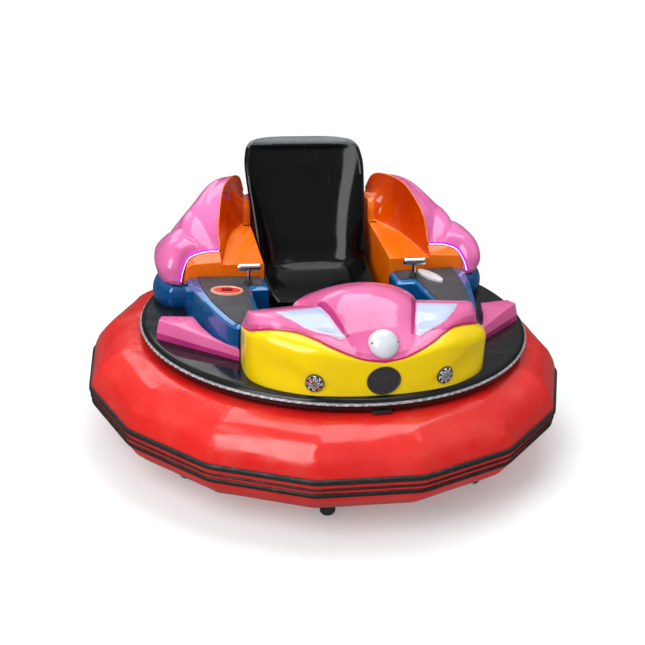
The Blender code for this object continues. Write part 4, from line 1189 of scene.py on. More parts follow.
LAMP_R = 0.047
LAMP_AT = Vector((0.004, -0.6215, BASE + 0.1505))
LAMP_FACES = Vector((0, -0.75, 0.66)).normalized()
LAMP_FOOT, LAMP_START, LAMP_TOP = -0.012, 0.003, 0.031
LAMP_STEPS = 14
LAMP_RIM = ((-0.003, -0.010), (0.0012, -0.010), (0.0016, 0.0012), (-0.0002, 0.0022))
SCREW = ((0, -0.006), (0.0032, -0.006), (0.0032, 0.0006), (0.0018, 0.0012), (0, 0.0004))
SCREW_SIDES = 14
SCREW_IN, SCREW_UP = 0.0065, 0.0175
FACE_SIDES = 72
DISC_R = 0.050
DISC_AT = (0, NOSE_STATIONS[0][1] - GAP, BASE + 0.049)
DISC_FACE = ((0, 0), (DISC_R - 0.004, 0), (DISC_R - 0.004, 0.0022), (0.028, 0.0030), (0, 0.0034))
DISC_RIM = (
    (-0.0045, 0.0000),
    (0.0000, 0.0000),
    (0.0000, 0.0024),
    (-0.0010, 0.0040),
    (-0.0032, 0.0040),
    (-0.0045, 0.0028),
)
DISC_WIDER = 1.06
DISC_LOWER = 0.93
CAP_R = 0.028
CAP_X = 0.205
CAP_HEIGHT = 0.043
CAP_ASIDE = -0.003
CAP_IN = 0.0008
CAP_SIDES = 48
CAP_DOME = 0.0045
CAP_RIM = ((-0.0030, -0.003), (0.0003, -0.003), (0.0003, 0.0030), (-0.0010, 0.0042), (-0.0030, 0.0036))
CAP_BLADES = 8
BLADE_STEPS = 9
BLADE_SWEEP = 0.95
BLADE_LOW = 0.0020
# Finish, places round the cap, how far inside its edge, height, share of the room for a blade
DARK_BLADES = ("cap_black", range(CAP_BLADES), 0.0028, 0.0040, 0.80)
WARM_BLADES = ("salmon", (1.5, 2.5, 5.5), 0.0032, 0.0043, 0.40)


def round_section(radius, section):
    return [(radius + r, height) for r, height in section]


def nose_face(x, reach):
    """y and outward normal of the band's foot at x, over a chord that reaches to both sides."""
    right = [p for p in nose_line() if p[0] > 0]
    xs, ys = [p[0] for p in right], [p[1] for p in right]
    behind, y, ahead = (float(np.interp(at, xs, ys)) for at in (x - reach, x, x + reach))
    along = Vector((2 * reach, ahead - behind)).normalized()
    return y, (along.y, -along.x)


def lamp_profile():
    """The lamp's foot and its low round dome: radius, height."""
    out = [(0, LAMP_FOOT), (LAMP_R - 0.0015, LAMP_FOOT), (LAMP_R, 0.0015)]
    for j in range(LAMP_STEPS):
        angle = math.pi / 2 * j / LAMP_STEPS
        height = LAMP_START + (LAMP_TOP - LAMP_START) * math.sin(angle)
        out.append(((LAMP_R - 0.0008) * math.cos(angle), height))
    return out + [(0, LAMP_TOP)]


def build_lamp():
    lamp = lathe("dome_lamp_shell", lamp_profile(), FACE_SIDES, "white", LAMP_FACES, LAMP_AT)
    stands_for(lamp, "dome_lamp")
    rim = round_section(LAMP_R, LAMP_RIM)
    lathe("dome_lamp_rim", rim, FACE_SIDES, "cream", LAMP_FACES, LAMP_AT)
    screws = []
    for sign in (-1, 1):
        side = Vector((sign, 0, 0))
        spot = LAMP_AT + side * (LAMP_R - SCREW_IN) + LAMP_FACES * SCREW_UP
        screws.append(lathe_mesh(SCREW, SCREW_SIDES, side * 0.8 + LAMP_FACES * 0.7, spot))
    joined("dome_lamp_screws", screws, "rust_screw")


def make_oval(obj):
    """Widens a round piece on the nose's disc and makes it less high."""
    for vertex in obj.data.vertices:
        vertex.co.x = DISC_AT[0] + (vertex.co.x - DISC_AT[0]) * DISC_WIDER
        vertex.co.z = DISC_AT[2] + (vertex.co.z - DISC_AT[2]) * DISC_LOWER


def build_disc():
    disc = lathe("nose_disc_face", DISC_FACE, FACE_SIDES, "grille", (0, -1, 0), DISC_AT)
    make_oval(disc)
    stands_for(disc, "nose_disc")
    section = round_section(DISC_R, DISC_RIM)
    rim = lathe("nose_disc_rim", section, FACE_SIDES, "dark_block", (0, -1, 0), DISC_AT)
    make_oval(rim)


def blade_points(radius, place, height, share):
    """One curved blade from the middle of a cap to its border, laid on the cap's low dome."""
    half = math.pi / CAP_BLADES * share
    turn = 2 * math.pi * place / CAP_BLADES
    out = range(BLADE_STEPS + 1)
    points = []
    for level in (BLADE_LOW, height):
        for side, order in ((-1, out), (1, reversed(out))):
            for j in order:
                r = radius * (0.06 + 0.92 * j / BLADE_STEPS)
                wide = half * (0.55 + 0.45 * math.sin(math.pi * j / BLADE_STEPS))
                angle = turn + BLADE_SWEEP * (r / radius) + side * wide
                dome = CAP_DOME * (1 - (r / radius) ** 2)
                points.append(Vector((r * math.cos(angle), r * math.sin(angle), level + dome)))
    return points


def build_cap(label, sign):
    foot, normal = nose_face(CAP_X, CAP_R)
    facing = Vector((sign * normal[0], normal[1], 0)).normalized()
    centre = Vector((sign * CAP_X + CAP_ASIDE, foot - CAP_IN, BASE + CAP_HEIGHT))
    turn = Vector((0, 0, 1)).rotation_difference(facing).to_matrix()
    inner = CAP_R - 0.003
    profile = [(0, -0.006), (CAP_R - 0.001, -0.006), (CAP_R - 0.001, 0.002), (inner, 0.0035)]
    profile += [(r * inner, 0.0035 + CAP_DOME * (1 - r * r)) for r in (0.8, 0.6, 0.4, 0.2, 0.0)]
    cap = lathe(f"nose_cap_{label}_dome", profile, CAP_SIDES, "cap_white", facing, centre)
    stands_for(cap, f"nose_cap_{label}")

    def build_blades(name, finish, places, inside, height, share):
        parts = []
        for place in places:
            points = blade_points(CAP_R - inside, place, height, share)
            parts.append(([turn @ p + centre for p in points], loop_faces(len(points) // 2, 2)))
        joined(name, parts, finish)

    build_blades(f"nose_cap_{label}_blades", *DARK_BLADES)
    if sign < 0:
        build_blades("nose_cap_left_warm_blades", *WARM_BLADES)
    rim = round_section(CAP_R, CAP_RIM)
    lathe(f"nose_cap_{label}_rim", rim, CAP_SIDES, "dark_block", facing, centre)


# Side pods and consoles

POD_INNER_X = TUB_X + 0.0105
POD_EDGE_X = POD_INNER_X - 0.008
PLATE_T = 0.006
PLATE_HEIGHT, PLATE_HEIGHT_X = 0.1080, 0.310
PLATE_SLOPE = 0.035
STRIP_DROP = 0.012
POD_REAR_TOP = 0.085
WING_FOOT = BASE + POD_REAR_TOP
# Foot x, y; top edge x, y; corner of the console plate x, y
POD_STATIONS = (
    (POD_EDGE_X, 0.117, POD_EDGE_X, 0.117, 0.2530, 0.114),
    (POD_EDGE_X, 0.006, POD_EDGE_X, 0.006, 0.2530, 0.030),
    (0.300, 0.000, 0.300, 0.000, 0.3115, 0.026),
    (0.306, -0.185, 0.306, -0.185, 0.3200, -0.186),
    (0.348, -0.290, 0.348, -0.290, 0.3620, -0.290),
    (0.394, -0.345, 0.393, -0.343, 0.3840, -0.314),
    (0.424, -0.328, 0.412, -0.326, 0.3970, -0.304),
    (0.460, -0.268, 0.437, -0.266, 0.4160, -0.252),
    (0.482, -0.200, 0.458, -0.195, 0.4340, -0.195),
    (0.500, -0.112, 0.479, -0.112, 0.4560, -0.112),
    (0.516, -0.017, 0.503, -0.017, 0.4700, -0.015),
    (0.525, 0.070, 0.517, 0.070, 0.4780, 0.070),
    (0.528, 0.117, 0.521, 0.117, 0.4780, 0.114),
)
# Outline of the pod under the wing: x, y
SKIRT_OUTLINE = (
    (POD_INNER_X, 0.112),
    (0.540, 0.112),
    (0.580, 0.124),
    (0.608, 0.154),
    (0.624, 0.200),
    (0.620, 0.260),
    (0.597, 0.322),
    (0.555, 0.387),
    (0.500, 0.447),
    (0.430, 0.508),
    (0.340, 0.565),
    (POD_INNER_X, 0.602),
)
# Height over the deck and how far the skirt stands out from its outline
SKIRT_SHAPE = ((0.0, 0.0), (0.020, 0.006), (0.050, 0.004), (0.072, -0.006), (POD_REAR_TOP, -0.020))
CORNER_R = 0.010
PLATE_CORNER_R = 0.004
# Below the plate's top, inside its outline
PLATE_EDGE = ((PLATE_T, 0.0), (0.0018, 0.0), (0.0004, 0.0008), (0.0, 0.0022))


def plate_height(x):
    """Height of the console plate over the deck; it falls a little toward the rider."""
    return PLATE_HEIGHT + PLATE_SLOPE * (abs(x) - PLATE_HEIGHT_X)


def pod_outline(first, radius):
    """One of the pod's outlines, from column first of its table, with rounded corners."""
    return rounded_corners([(row[first], row[first + 1]) for row in POD_STATIONS], radius)


def between(first, second, share):
    """The outline that lies a share of the way from the first to the second."""
    return [(a[0] + (b[0] - a[0]) * share, a[1] + (b[1] - a[1]) * share) for a, b in zip(first, second)]


def build_pod(label, sign):
    foot, edge, plate = (pod_outline(first, CORNER_R) for first in (0, 2, 4))

    def level(outline, drop, share=1.0):
        return mirrored([(x, y, BASE + (plate_height(x) - drop) * share) for x, y in outline], sign)

    rows = [
        level(foot, STRIP_DROP, 0.0),
        level(between(foot, edge, 0.5), STRIP_DROP, 0.5),
        level(edge, STRIP_DROP + 0.004),
        level(edge, STRIP_DROP + 0.001),
    ]
    loops(f"side_pod_{label}_skin", rows, "blue")
    # The rim band is painted a lighter blue, as painted light on its upward faces.
    rows = [
        level(edge, STRIP_DROP + 0.0015),
        level(between(edge, plate, 0.25), STRIP_DROP * 0.62),
        level(plate, PLATE_T * 0.7),
        level(inset(plate, 0.004), PLATE_T + 0.002),
    ]
    loops(f"pod_rim_{label}", rows, "blue_painted_light")
    outline = smooth(SKIRT_OUTLINE, 6)
    rows = []
    for height, out in smooth(SKIRT_SHAPE, 4):
        row = [(max(x, POD_INNER_X), y, BASE + height) for x, y in inset(outline, -out)]
        rows.append(mirrored(row, sign))
    stands_for(loops(f"pod_skirt_{label}", rows, "blue"), f"side_pod_{label}")


def build_console(label, sign):
    outline = pod_outline(4, PLATE_CORNER_R)
    rows = []
    for drop, back in PLATE_EDGE:
        rows.append([(sign * x, y, BASE + plate_height(x) - drop) for x, y in inset(outline, back)])
    console = loops(f"console_{label}_sheet", rows, "console_grey")
    stands_for(console, f"console_{label}")


# T-shaped handles

HANDLE_X, HANDLE_Y = 0.305, 0.040
HANDLE_SIDES = 32
GRIP_R = 0.014
GRIP_HALF = 0.041
GRIP_RISE = 0.047
GRIP_END = 0.006
GRIP_RIBS = 11
RIB_DEPTH = 0.0026
# Radius and height over the plate
HANDLE_BOOT = (
    (0.0000, -0.004),
    (0.0140, -0.004),
    (0.0140, 0.003),
    (0.0120, 0.006),
    (0.0100, 0.008),
    (0.0115, 0.011),
    (0.0095, 0.014),
    (0.0085, 0.017),
    (0.0000, 0.017),
)


def grip_profile():
    """The grip's ribs from end to end: radius, place along it."""
    end = ((0.004, 0.0), (0.001, 0.0015), (0.0, 0.004))
    pitch = 2 * (GRIP_HALF - GRIP_END) / GRIP_RIBS
    out = [(0, -GRIP_HALF)] + [(GRIP_R - less, at - GRIP_HALF) for less, at in end]
    for i in range(GRIP_RIBS):
        at = GRIP_END - GRIP_HALF + i * pitch
        out += [(GRIP_R - RIB_DEPTH, at + pitch * share) for share in (0.0, 0.28)]
        out += [(GRIP_R, at + pitch * share) for share in (0.42, 0.86)]
    return out + [(GRIP_R - less, GRIP_HALF - at) for less, at in reversed(end)] + [(0, GRIP_HALF)]


def build_handle(label, sign):
    low = BASE + plate_height(HANDLE_X) + GAP
    grip_z = low - GAP + GRIP_RISE + GRIP_R
    at = {"centre": (sign * HANDLE_X, HANDLE_Y, 0)}
    boot = [(r, low + height) for r, height in HANDLE_BOOT]
    lathe(f"handle_{label}_boot", boot, HANDLE_SIDES, "black_rubber", **at)
    stem = [(0, low + 0.010), (0.0066, low + 0.010), (0.0066, grip_z - 0.017)]
    stem += [(0.0100, grip_z - 0.0135), (0.0100, grip_z - 0.004), (0, grip_z)]
    stem = lathe(f"handle_{label}_stem", stem, HANDLE_SIDES, "chrome", **at)
    stands_for(stem, f"handle_{label}")
    centre = (sign * HANDLE_X, HANDLE_Y, grip_z)
    grip = lathe(f"handle_{label}_grip", grip_profile(), HANDLE_SIDES, "chrome", (1, 0, 0), centre)


# Controls on the consoles: place, turn; half length and half width; then (rise, shrink) of each loop

OVAL_POINTS = 56
DISPLAY_AT, DISPLAY_TURN = (-0.391, -0.036), math.radians(-3)
BEZEL_HALF = (0.057, 0.041)
BEZEL = (
    (-0.0010, 0.0000),
    (0.0040, 0.0000),
    (0.0062, 0.0012),
    (0.0070, 0.0035),
    (0.0066, 0.0070),
    (0.0035, 0.0095),
)
LENS_HALF = (0.047, 0.031)
LENS = ((0.001, 0), (0.0042, 0), (0.0052, 0.003), (0.0056, 0.008))
WINDOW_SIZE = (0.038, 0.024, 0.0014)
WINDOW_RISE = 0.0062
KNOB_AT, KNOB_TURN = (0.366, 0.028), math.radians(-69)
KNOB_HALF = (0.070, 0.024)
KNOB = (
    (-0.0010, 0.0000),
    (0.0050, 0.0000),
    (0.0080, 0.0010),
    (0.0105, 0.0040),
    (0.0120, 0.0090),
    (0.0126, 0.0160),
)


def oval(centre, turn, half, rises):
    """Loops of an oval boss on the console plate."""
    c, s = math.cos(turn), math.sin(turn)
    rows = []
    for rise, shrink in rises:
        row = []
        for angle in turns(OVAL_POINTS):
            along = (half[0] - shrink) * math.cos(angle)
            across = (half[1] - shrink) * math.sin(angle)
            x, y = centre[0] + along * c - across * s, centre[1] + along * s + across * c
            row.append((x, y, BASE + plate_height(x) + rise))
        rows.append(row)
    return rows


def build_controls():
    bezel = loops("display_bezel", oval(DISPLAY_AT, DISPLAY_TURN, BEZEL_HALF, BEZEL), "peach")
    stands_for(bezel, "display")
    loops("display_lens", oval(DISPLAY_AT, DISPLAY_TURN, LENS_HALF, LENS), "red_lens")
    c, s = math.cos(DISPLAY_TURN), math.sin(DISPLAY_TURN)
    centre = (*DISPLAY_AT, BASE + plate_height(DISPLAY_AT[0]) + WINDOW_RISE)
    window = block_mesh(centre, (c, s, -PLATE_SLOPE * c), (PLATE_SLOPE, 0, 1), *WINDOW_SIZE)
    joined("display_window", [window], "dark_lens")
    knob = loops("side_knob_plate", oval(KNOB_AT, KNOB_TURN, KNOB_HALF, KNOB), "knob_white")
    stands_for(knob, "side_knob")


# Fins between the pods and the nose

# Front foot x, y; top x, y, height; rear x, y, height
FIN_STATIONS = (
    (0.3940, -0.3655, 0.3940, -0.3590, 0.0355, 0.3960, -0.3345, 0.0355),
    (0.4350, -0.3320, 0.4310, -0.3250, 0.0405, 0.4275, -0.3205, 0.0415),
    (0.4850, -0.2915, 0.4800, -0.2820, 0.0465, 0.4680, -0.2640, 0.0470),
    (0.5300, -0.2545, 0.5240, -0.2440, 0.0520, 0.4935, -0.1990, 0.0510),
    (0.5900, -0.2045, 0.5820, -0.1930, 0.0590, 0.5160, -0.1110, 0.0550),
    (0.6430, -0.1600, 0.6330, -0.1500, 0.0635, 0.6200, -0.1000, 0.0575),
)
# The fold in the front: share of the height, share of the way back
FIN_FOLD = (0.38, 0.15)
FIN_EDGES = (0.0015, 0.0045, 0.0045)
# Share of the fin's height below which it is painted darker, as painted shade
FIN_DARK = 0.36


def fin_section(x0, y0, x1, y1, top, x2, y2, rear):
    up, back = FIN_FOLD
    corners = [
        Vector((x0, y0, BASE)),
        Vector((x0 + (x1 - x0) * back, y0 + (y1 - y0) * back, BASE + top * up)),
        Vector((x1, y1, BASE + top)),
        Vector((x2, y2, BASE + rear)),
        Vector((x2, y2, BASE)),
    ]
    section = corners[:1]
    for before, here, after, radius in zip(corners, corners[1:], corners[2:], FIN_EDGES):
        section += bend(before, here, after, radius, 0.4)
    return section + corners[-1:]


def build_fin(label, sign):
    sections = [mirrored(fin_section(*row), sign) for row in resample(FIN_STATIONS, 26)]
    made = loops(f"fin_{label}_skin", sections, "pink", sharp=28)
    first, last = FIN_STATIONS[0], FIN_STATIONS[-1]
    slope = FIN_DARK * (last[4] - first[4]) / (last[0] - first[0])

    def is_dark(face):
        return face.center.z < BASE + FIN_DARK * first[4] + slope * (abs(face.center.x) - first[0])

    # The lower band gets painted shade, a darker copy of the pink.
    second_finish(made, "pink_painted_shade", is_dark)
    stands_for(made, f"fin_{label}")


# Wings

# Top edge x, y, height; dish x, y, height; crest x, y, height; belly x, y, height; foot x, y
WING_STATIONS = (
    (0.538, 0.108, 0.096, 0.552, 0.106, 0.1005, 0.566, 0.110, 0.103, 0.578, 0.118, 0.098, 0.572, 0.124),
    (0.5295, 0.121, 0.130, 0.552, 0.118, 0.150, 0.585, 0.126, 0.152, 0.606, 0.150, 0.125, 0.596, 0.158),
    (0.507, 0.150, 0.168, 0.535, 0.155, 0.204, 0.580, 0.180, 0.202, 0.620, 0.215, 0.150, 0.610, 0.225),
    (0.468, 0.161, 0.1835, 0.500, 0.185, 0.222, 0.560, 0.235, 0.225, 0.614, 0.290, 0.165, 0.602, 0.300),
    (0.427, 0.161, 0.1905, 0.477, 0.2125, 0.224, 0.535, 0.272, 0.240, 0.597, 0.335, 0.170, 0.588, 0.350),
    (0.395, 0.158, 0.1960, 0.4495, 0.226, 0.232, 0.512, 0.302, 0.242, 0.574, 0.370, 0.170, 0.568, 0.390),
    (0.392, 0.190, 0.245, 0.440, 0.257, 0.268, 0.496, 0.332, 0.273, 0.548, 0.410, 0.180, 0.543, 0.430),
    (0.385, 0.242, 0.2975, 0.425, 0.307, 0.311, 0.465, 0.380, 0.303, 0.508, 0.455, 0.190, 0.506, 0.475),
    (0.360, 0.350, 0.3565, 0.388, 0.395, 0.354, 0.418, 0.445, 0.338, 0.450, 0.510, 0.200, 0.450, 0.525),
    (0.333, 0.417, 0.3755, 0.352, 0.452, 0.372, 0.373, 0.493, 0.352, 0.394, 0.550, 0.210, 0.394, 0.563),
    (0.298, 0.503, 0.3745, 0.310, 0.526, 0.367, 0.322, 0.555, 0.342, 0.333, 0.590, 0.210, 0.333, 0.598),
    (0.268, 0.545, 0.356, 0.273, 0.560, 0.348, 0.279, 0.577, 0.326, 0.285, 0.600, 0.210, 0.285, 0.606),
    (0.250, 0.566, 0.300, 0.254, 0.578, 0.296, 0.259, 0.590, 0.284, 0.264, 0.606, 0.210, 0.264, 0.612),
)
WING_ROW_STEPS = 14
WING_POINT_STEPS = 16
LEAF_ROW = 5
LOW_EDGE_END = LEAF_ROW * WING_ROW_STEPS
# The upper lobe is part of a flattened ball that stands out of the lower one, with a crisp line between
LOBE_AT = Vector((0.341, 0.314, BASE + 0.1385))
LOBE_SIZE = Vector((0.220, 0.212, 0.0927))
LOBE_ALONG = Vector((-0.255, 0.906, 0.338))
LOBE_OUT = Vector((-0.534, -0.423, 0.732))
LOBE_FADE = 9
WING_OUTWARD = Vector((1.0, 0.2, 0.6))
# The glowing band and the strip of diodes along the lower edge
BAND_R, BAND_AWAY, BAND_LIFT = 0.0048, 0.0060, 0.0006
CHANNEL_R = 0.0016
LEAF_RIM_R = 0.0026
WING_DIODES = 46
WING_DIODE_OFF = Vector((0, -0.0030, 0.0008))
WING_DIODE_FACES = (0, -1, 0.25)
WING_DIODE_SIZE = (0.0044, 0.0026, 0.0014)


def wing_rows():
    """The wing's skin: a row of points from its top edge to its foot for each station."""
    rows = []
    for row in WING_STATIONS:
        points = [(x, y, BASE + height) for x, y, height in zip(row[0:12:3], row[1:12:3], row[2:12:3])]
        rows.append([*points, (row[12], row[13], WING_FOOT + GAP)])
    return [[Vector(p) for p in row] for row in patch(rows, WING_ROW_STEPS, WING_POINT_STEPS)]


def lobe_rise(point, normal):
    """How far a point moves along its normal to reach the ball, if it is inside it."""
    axes = (LOBE_ALONG, LOBE_OUT.cross(LOBE_ALONG), LOBE_OUT)
    at = Vector([(point - LOBE_AT).dot(axis) / size for axis, size in zip(axes, LOBE_SIZE)])
    way = Vector([normal.dot(axis) / size for axis, size in zip(axes, LOBE_SIZE)])
    inside = at.dot(at) - 1
    if inside >= 0:
        return 0.0
    square, cross = way.dot(way), at.dot(way)
    return (math.sqrt(cross * cross - square * inside) - cross) / square


def with_lobe(rows):
    """The wing's skin with the upper lobe raised out of it; its edges stay where they are."""
    out = [list(row) for row in rows]
    for i in range(1, len(rows) - 1):
        for j in range(1, len(rows[i]) - 1):
            along = rows[i + 1][j] - rows[i - 1][j]
            across = rows[i][j + 1] - rows[i][j - 1]
            normal = across.cross(along).normalized()
            if normal.dot(WING_OUTWARD) < 0:
                normal = -normal
            share = min(j / LOBE_FADE, (len(rows) - 1 - i) / LOBE_FADE, 1.0)
            out[i][j] = rows[i][j] + normal * lobe_rise(rows[i][j], normal) * share * (2 - share)
    return out


def beside_edge(rows, away, lift):
    """A path beside the wing's top edge: away from it along the skin and lifted off."""
    path = []
    for before, row, after in zip(rows[:1] + rows, rows, rows[1:]):
        across = (row[2] - row[0]).normalized()
        along = (after[0] - before[0]).normalized()
        out = along.cross(across).normalized()
        if out.z < -0.2 or (out.z <= 0.2 and out.y > 0):
            out = -out
        path.append(row[0] + across * away + out * lift)
    return path


def build_wing(label, sign):
    rows = with_lobe(wing_rows())
    sections = [mirrored([*row, (*row[0].xy, WING_FOOT + GAP)], sign) for row in rows]
    wing = loops(f"wing_{label}_skin", sections, "wing_pink", sharp=50)
    stands_for(wing, f"wing_{label}")
    edge = mirrored([row[0] for row in rows], sign)
    low, high = edge[: LOW_EDGE_END + 1], edge[LOW_EDGE_END:]
    band = mirrored(beside_edge(rows[: LOW_EDGE_END + 2], BAND_AWAY, BAND_LIFT), sign)
    bead(f"wing_{label}_band", band, BAND_R, "edge_glow", sides=10)
    bead(f"wing_{label}_rim", high, LEAF_RIM_R, "orange")
    bead(f"wing_{label}_channel", low, CHANNEL_R, "strip_cover")
    chips = []
    path = [Vector(p) for p in resample(low, WING_DIODES)]
    for before, here, after in zip(path, path[1:], path[2:]):
        centre = here + WING_DIODE_OFF
        chips.append(block_mesh(centre, after - before, WING_DIODE_FACES, *WING_DIODE_SIZE))
    joined(f"wing_{label}_diodes", chips, "edge_diodes")


# Armrest and leaf

ARM_FRONT_Y = 0.1185
ARM_INNER_X = POD_INNER_X - 0.0061
ARM_FRONT_HEIGHT = 0.1520
ARM_SLOPE = 0.137
# Where the leaf starts to rise from the armrest: y, x
LEAF_FOOT = fine((
    (0.118, 0.388),
    (0.187, 0.367),
    (0.242, 0.355),
    (0.350, 0.320),
    (0.417, 0.276),
    (0.460, 0.246),
))
# Height over the deck of the inner side behind the armrest: y, height
BACK_RISE = ((0.458, 0.206), (0.468, 0.262), (0.484, 0.279), (0.545, 0.283))
LEAF_STEPS = 20
# The first point of a section from which the leaf has painted shade, a darker copy of the orange
LEAF_FIRST = 9
ARM_EDGE = 0.006
# Shares of the way from the armrest's front to the leaf's lower end
ARM_ROWS = (0.0, 0.05, 0.2, 0.4, 0.6, 0.8, 0.92)
ARM_CURVE = 1.6
LEAF_START_GAP = 0.004
# The step in front of the leaf: x, front y, back y, height of the front edge, height at the back
STEP_STATIONS = (
    (0.3920, 0.1185, 0.1570, 0.164, 0.190),
    (0.4300, 0.1183, 0.1580, 0.162, 0.186),
    (0.4700, 0.1180, 0.1560, 0.160, 0.179),
    (0.5040, 0.1178, 0.1460, 0.156, 0.165),
    (0.5160, 0.1176, 0.1320, 0.140, 0.143),
    (0.5260, 0.1175, 0.1230, 0.098, 0.099),
)


def inner_height(y):
    """Height over the deck of the armrest's inner side."""
    if y < BACK_RISE[0][0]:
        return ARM_FRONT_HEIGHT + ARM_SLOPE * (y - ARM_FRONT_Y)
    return from_table(BACK_RISE, y)


def leaf_section(x, y, top):
    """The armrest's flat with its rounded inner edge, then the leaf curving up to the wing's edge."""
    flat = BASE + inner_height(y)
    start = max(ARM_INNER_X + ARM_EDGE + 0.001, min(from_table(LEAF_FOOT, y), x - LEAF_START_GAP))
    points = [(ARM_INNER_X, y, BASE)]
    points += [(ARM_INNER_X + into, y, flat - drop) for into, drop in rounded_edge(ARM_EDGE)]
    for j in range(LEAF_STEPS + 1):
        angle = math.pi / 2 * j / LEAF_STEPS
        rise = (top - flat) * (1 - math.cos(angle))
        points.append((start + (x - start) * math.sin(angle), y, flat + rise))
    wall = POD_INNER_X - GAP
    return points + [(x, y, WING_FOOT + GAP), (wall, y, WING_FOOT + GAP), (wall, y, BASE)]


def build_wing_inner(label, sign):
    edge = inward([tuple(row[0]) for row in wing_rows()[LOW_EDGE_END:]], 1.5 * GAP)
    front = (edge[0][0], ARM_FRONT_Y, BASE + ARM_FRONT_HEIGHT + 0.002)
    sections = []
    for t in ARM_ROWS:
        x, y, _ = (a + (b - a) * t for a, b in zip(front, edge[0]))
        sections.append(leaf_section(x, y, front[2] + (edge[0][2] - GAP - front[2]) * t**ARM_CURVE))
    sections += [leaf_section(x, y, z - GAP) for x, y, z in edge[:-1]]
    body = loops(f"wing_inner_{label}_skin", [mirrored(s, sign) for s in sections], "orange", sharp=40)
    count = len(sections[0])

    def is_leaf(face):
        middle = sum(v % count for v in face.vertices) / len(face.vertices)
        return len(face.vertices) == 4 and LEAF_FIRST < middle < LEAF_FIRST + LEAF_STEPS

    # The leaf gets painted shade, a darker copy of the orange.
    second_finish(body, "orange_painted_shade", is_leaf)
    stands_for(body, f"wing_inner_{label}")


def build_step(label, sign):
    low = WING_FOOT + GAP
    sections = []
    for x, front, back, height, rear in resample(fine(STEP_STATIONS, 6), 34):
        section = [(x, front, low)]
        section += [(x, front + into, BASE + height - drop) for into, drop in rounded_edge(ARM_EDGE)]
        sections.append(mirrored([*section, (x, back, BASE + rear), (x, back, low)], sign))
    loops(f"arm_step_{label}", sections, "orange", sharp=40)


# Seat belt slot at the back of each armrest

SLOT_AT = (0.254, 0.436)
SLOT_LIFT = 0.0004
SLOT_SIZE = (0.026, 0.010, 0.0012)


def build_slot(label, sign):
    x, y = SLOT_AT
    centre = (sign * x, y, BASE + inner_height(y) + SLOT_LIFT)
    slot = block_mesh(centre, (1, 0, 0), (0, -ARM_SLOPE, 1), *SLOT_SIZE)
    joined(f"belt_slot_{label}", [slot], "black_rubber")


# Seat

SHELL_T = 0.010
LIP_R = 0.012
PAN_HEIGHT = 0.025
# Middle line y, height over the deck; half width; how far the sides stand forward; facing y, z
SEAT_STATIONS = (
    (0.056, 0.018, 0.188, 0.006, 0.00, 1.00),
    (0.110, PAN_HEIGHT, 0.205, 0.018, 0.00, 1.00),
    (0.220, PAN_HEIGHT, 0.212, 0.036, 0.00, 1.00),
    (0.320, PAN_HEIGHT, 0.214, 0.058, -0.10, 1.00),
    (0.375, 0.038, 0.215, 0.078, -0.55, 0.83),
    (0.408, 0.075, 0.216, 0.086, -0.85, 0.53),
    (0.440, 0.140, 0.219, 0.082, -0.92, 0.39),
    (0.486, 0.230, 0.226, 0.070, -0.93, 0.37),
    (0.530, 0.320, 0.234, 0.056, -0.94, 0.34),
    (0.566, 0.400, 0.238, 0.044, -0.95, 0.31),
    (0.590, 0.450, 0.230, 0.034, -0.95, 0.30),
    (0.594, 0.468, 0.221, 0.024, -0.88, 0.47),
    (0.602, 0.482, 0.206, 0.014, -0.72, 0.70),
    (0.612, 0.491, 0.181, 0.006, -0.60, 0.80),
    (0.622, 0.4965, 0.141, 0.002, -0.50, 0.87),
    (0.628, 0.4985, 0.086, 0.000, -0.45, 0.89),
)
SEAT_SHIFT = -0.012
SEAT_COLUMNS = 48
SEAT_ROW_STEPS = 7


def seat_section(y, height, half, depth, face_y, face_z):
    """The front of the shell across its width, a round lip at each side, then the back."""
    face = Vector((0, face_y, face_z)).normalized()
    middle = Vector((SEAT_SHIFT, y, BASE + height))
    across = half - LIP_R
    front, back = [], []
    for j in range(SEAT_COLUMNS + 1):
        u = -1 + 2 * j / SEAT_COLUMNS
        lift = depth * abs(u) ** 4
        front.append((u * across, lift))
        back.append((u * across, lift - SHELL_T - (2 * LIP_R - SHELL_T) * abs(u) ** 4))
    angles = [math.radians(degrees) for degrees in (67, 45, 22, 0, -22, -45, -67)]
    lip = [(across + LIP_R * math.cos(a), depth - LIP_R + LIP_R * math.sin(a)) for a in angles]
    outline = front + lip + back[::-1] + [(-x, lift) for x, lift in reversed(lip)]
    return [middle + Vector((x, 0, 0)) + face * lift for x, lift in outline]


def build_seat():
    rows = smooth(SEAT_STATIONS, SEAT_ROW_STEPS)
    seat = loops("seat_shell", [seat_section(*row) for row in rows], "seat_black", sharp=50)
    top = BASE + SEAT_STATIONS[-5][1]

    # The upward faces of the top edge get a lighter grey, as a painted reflection on the black shell.
    def is_top_edge(face):
        return face.normal.z > 0.5 and face.center.z > top

    second_finish(seat, "seat_painted_sheen", is_top_edge)
    stands_for(seat, "seat")


# Back of the body, behind the seat

BACK_HALF = ARM_INNER_X - GAP
COWL_INNER_Y = 0.556
COWL_R = COWL_INNER_Y + 0.096
BACK_R = COWL_R - 0.003
BACK_FOOT_Y = COWL_INNER_Y - 0.051
BACK_STEPS = 48
# How far inside COWL_R, height over the deck
COWL_SHAPE = (
    (0.024, POD_REAR_TOP + GAP),
    (0.012, 0.100),
    (0.003, 0.125),
    (0.000, 0.155),
    (0.007, 0.220),
    (0.020, 0.262),
    (0.038, 0.283),
    (0.054, 0.290),
)
# The light strip on the cowl's inner edge
CREST_Y, CREST_HEIGHT, CREST_R = COWL_INNER_Y - 0.004, 0.272, 0.0035
# y from COWL_INNER_Y, height over the deck
COWL_INSIDE = ((0.004, 0.285), (-0.006, 0.270), (-0.008, 0.235), (-0.008, POD_REAR_TOP + GAP))


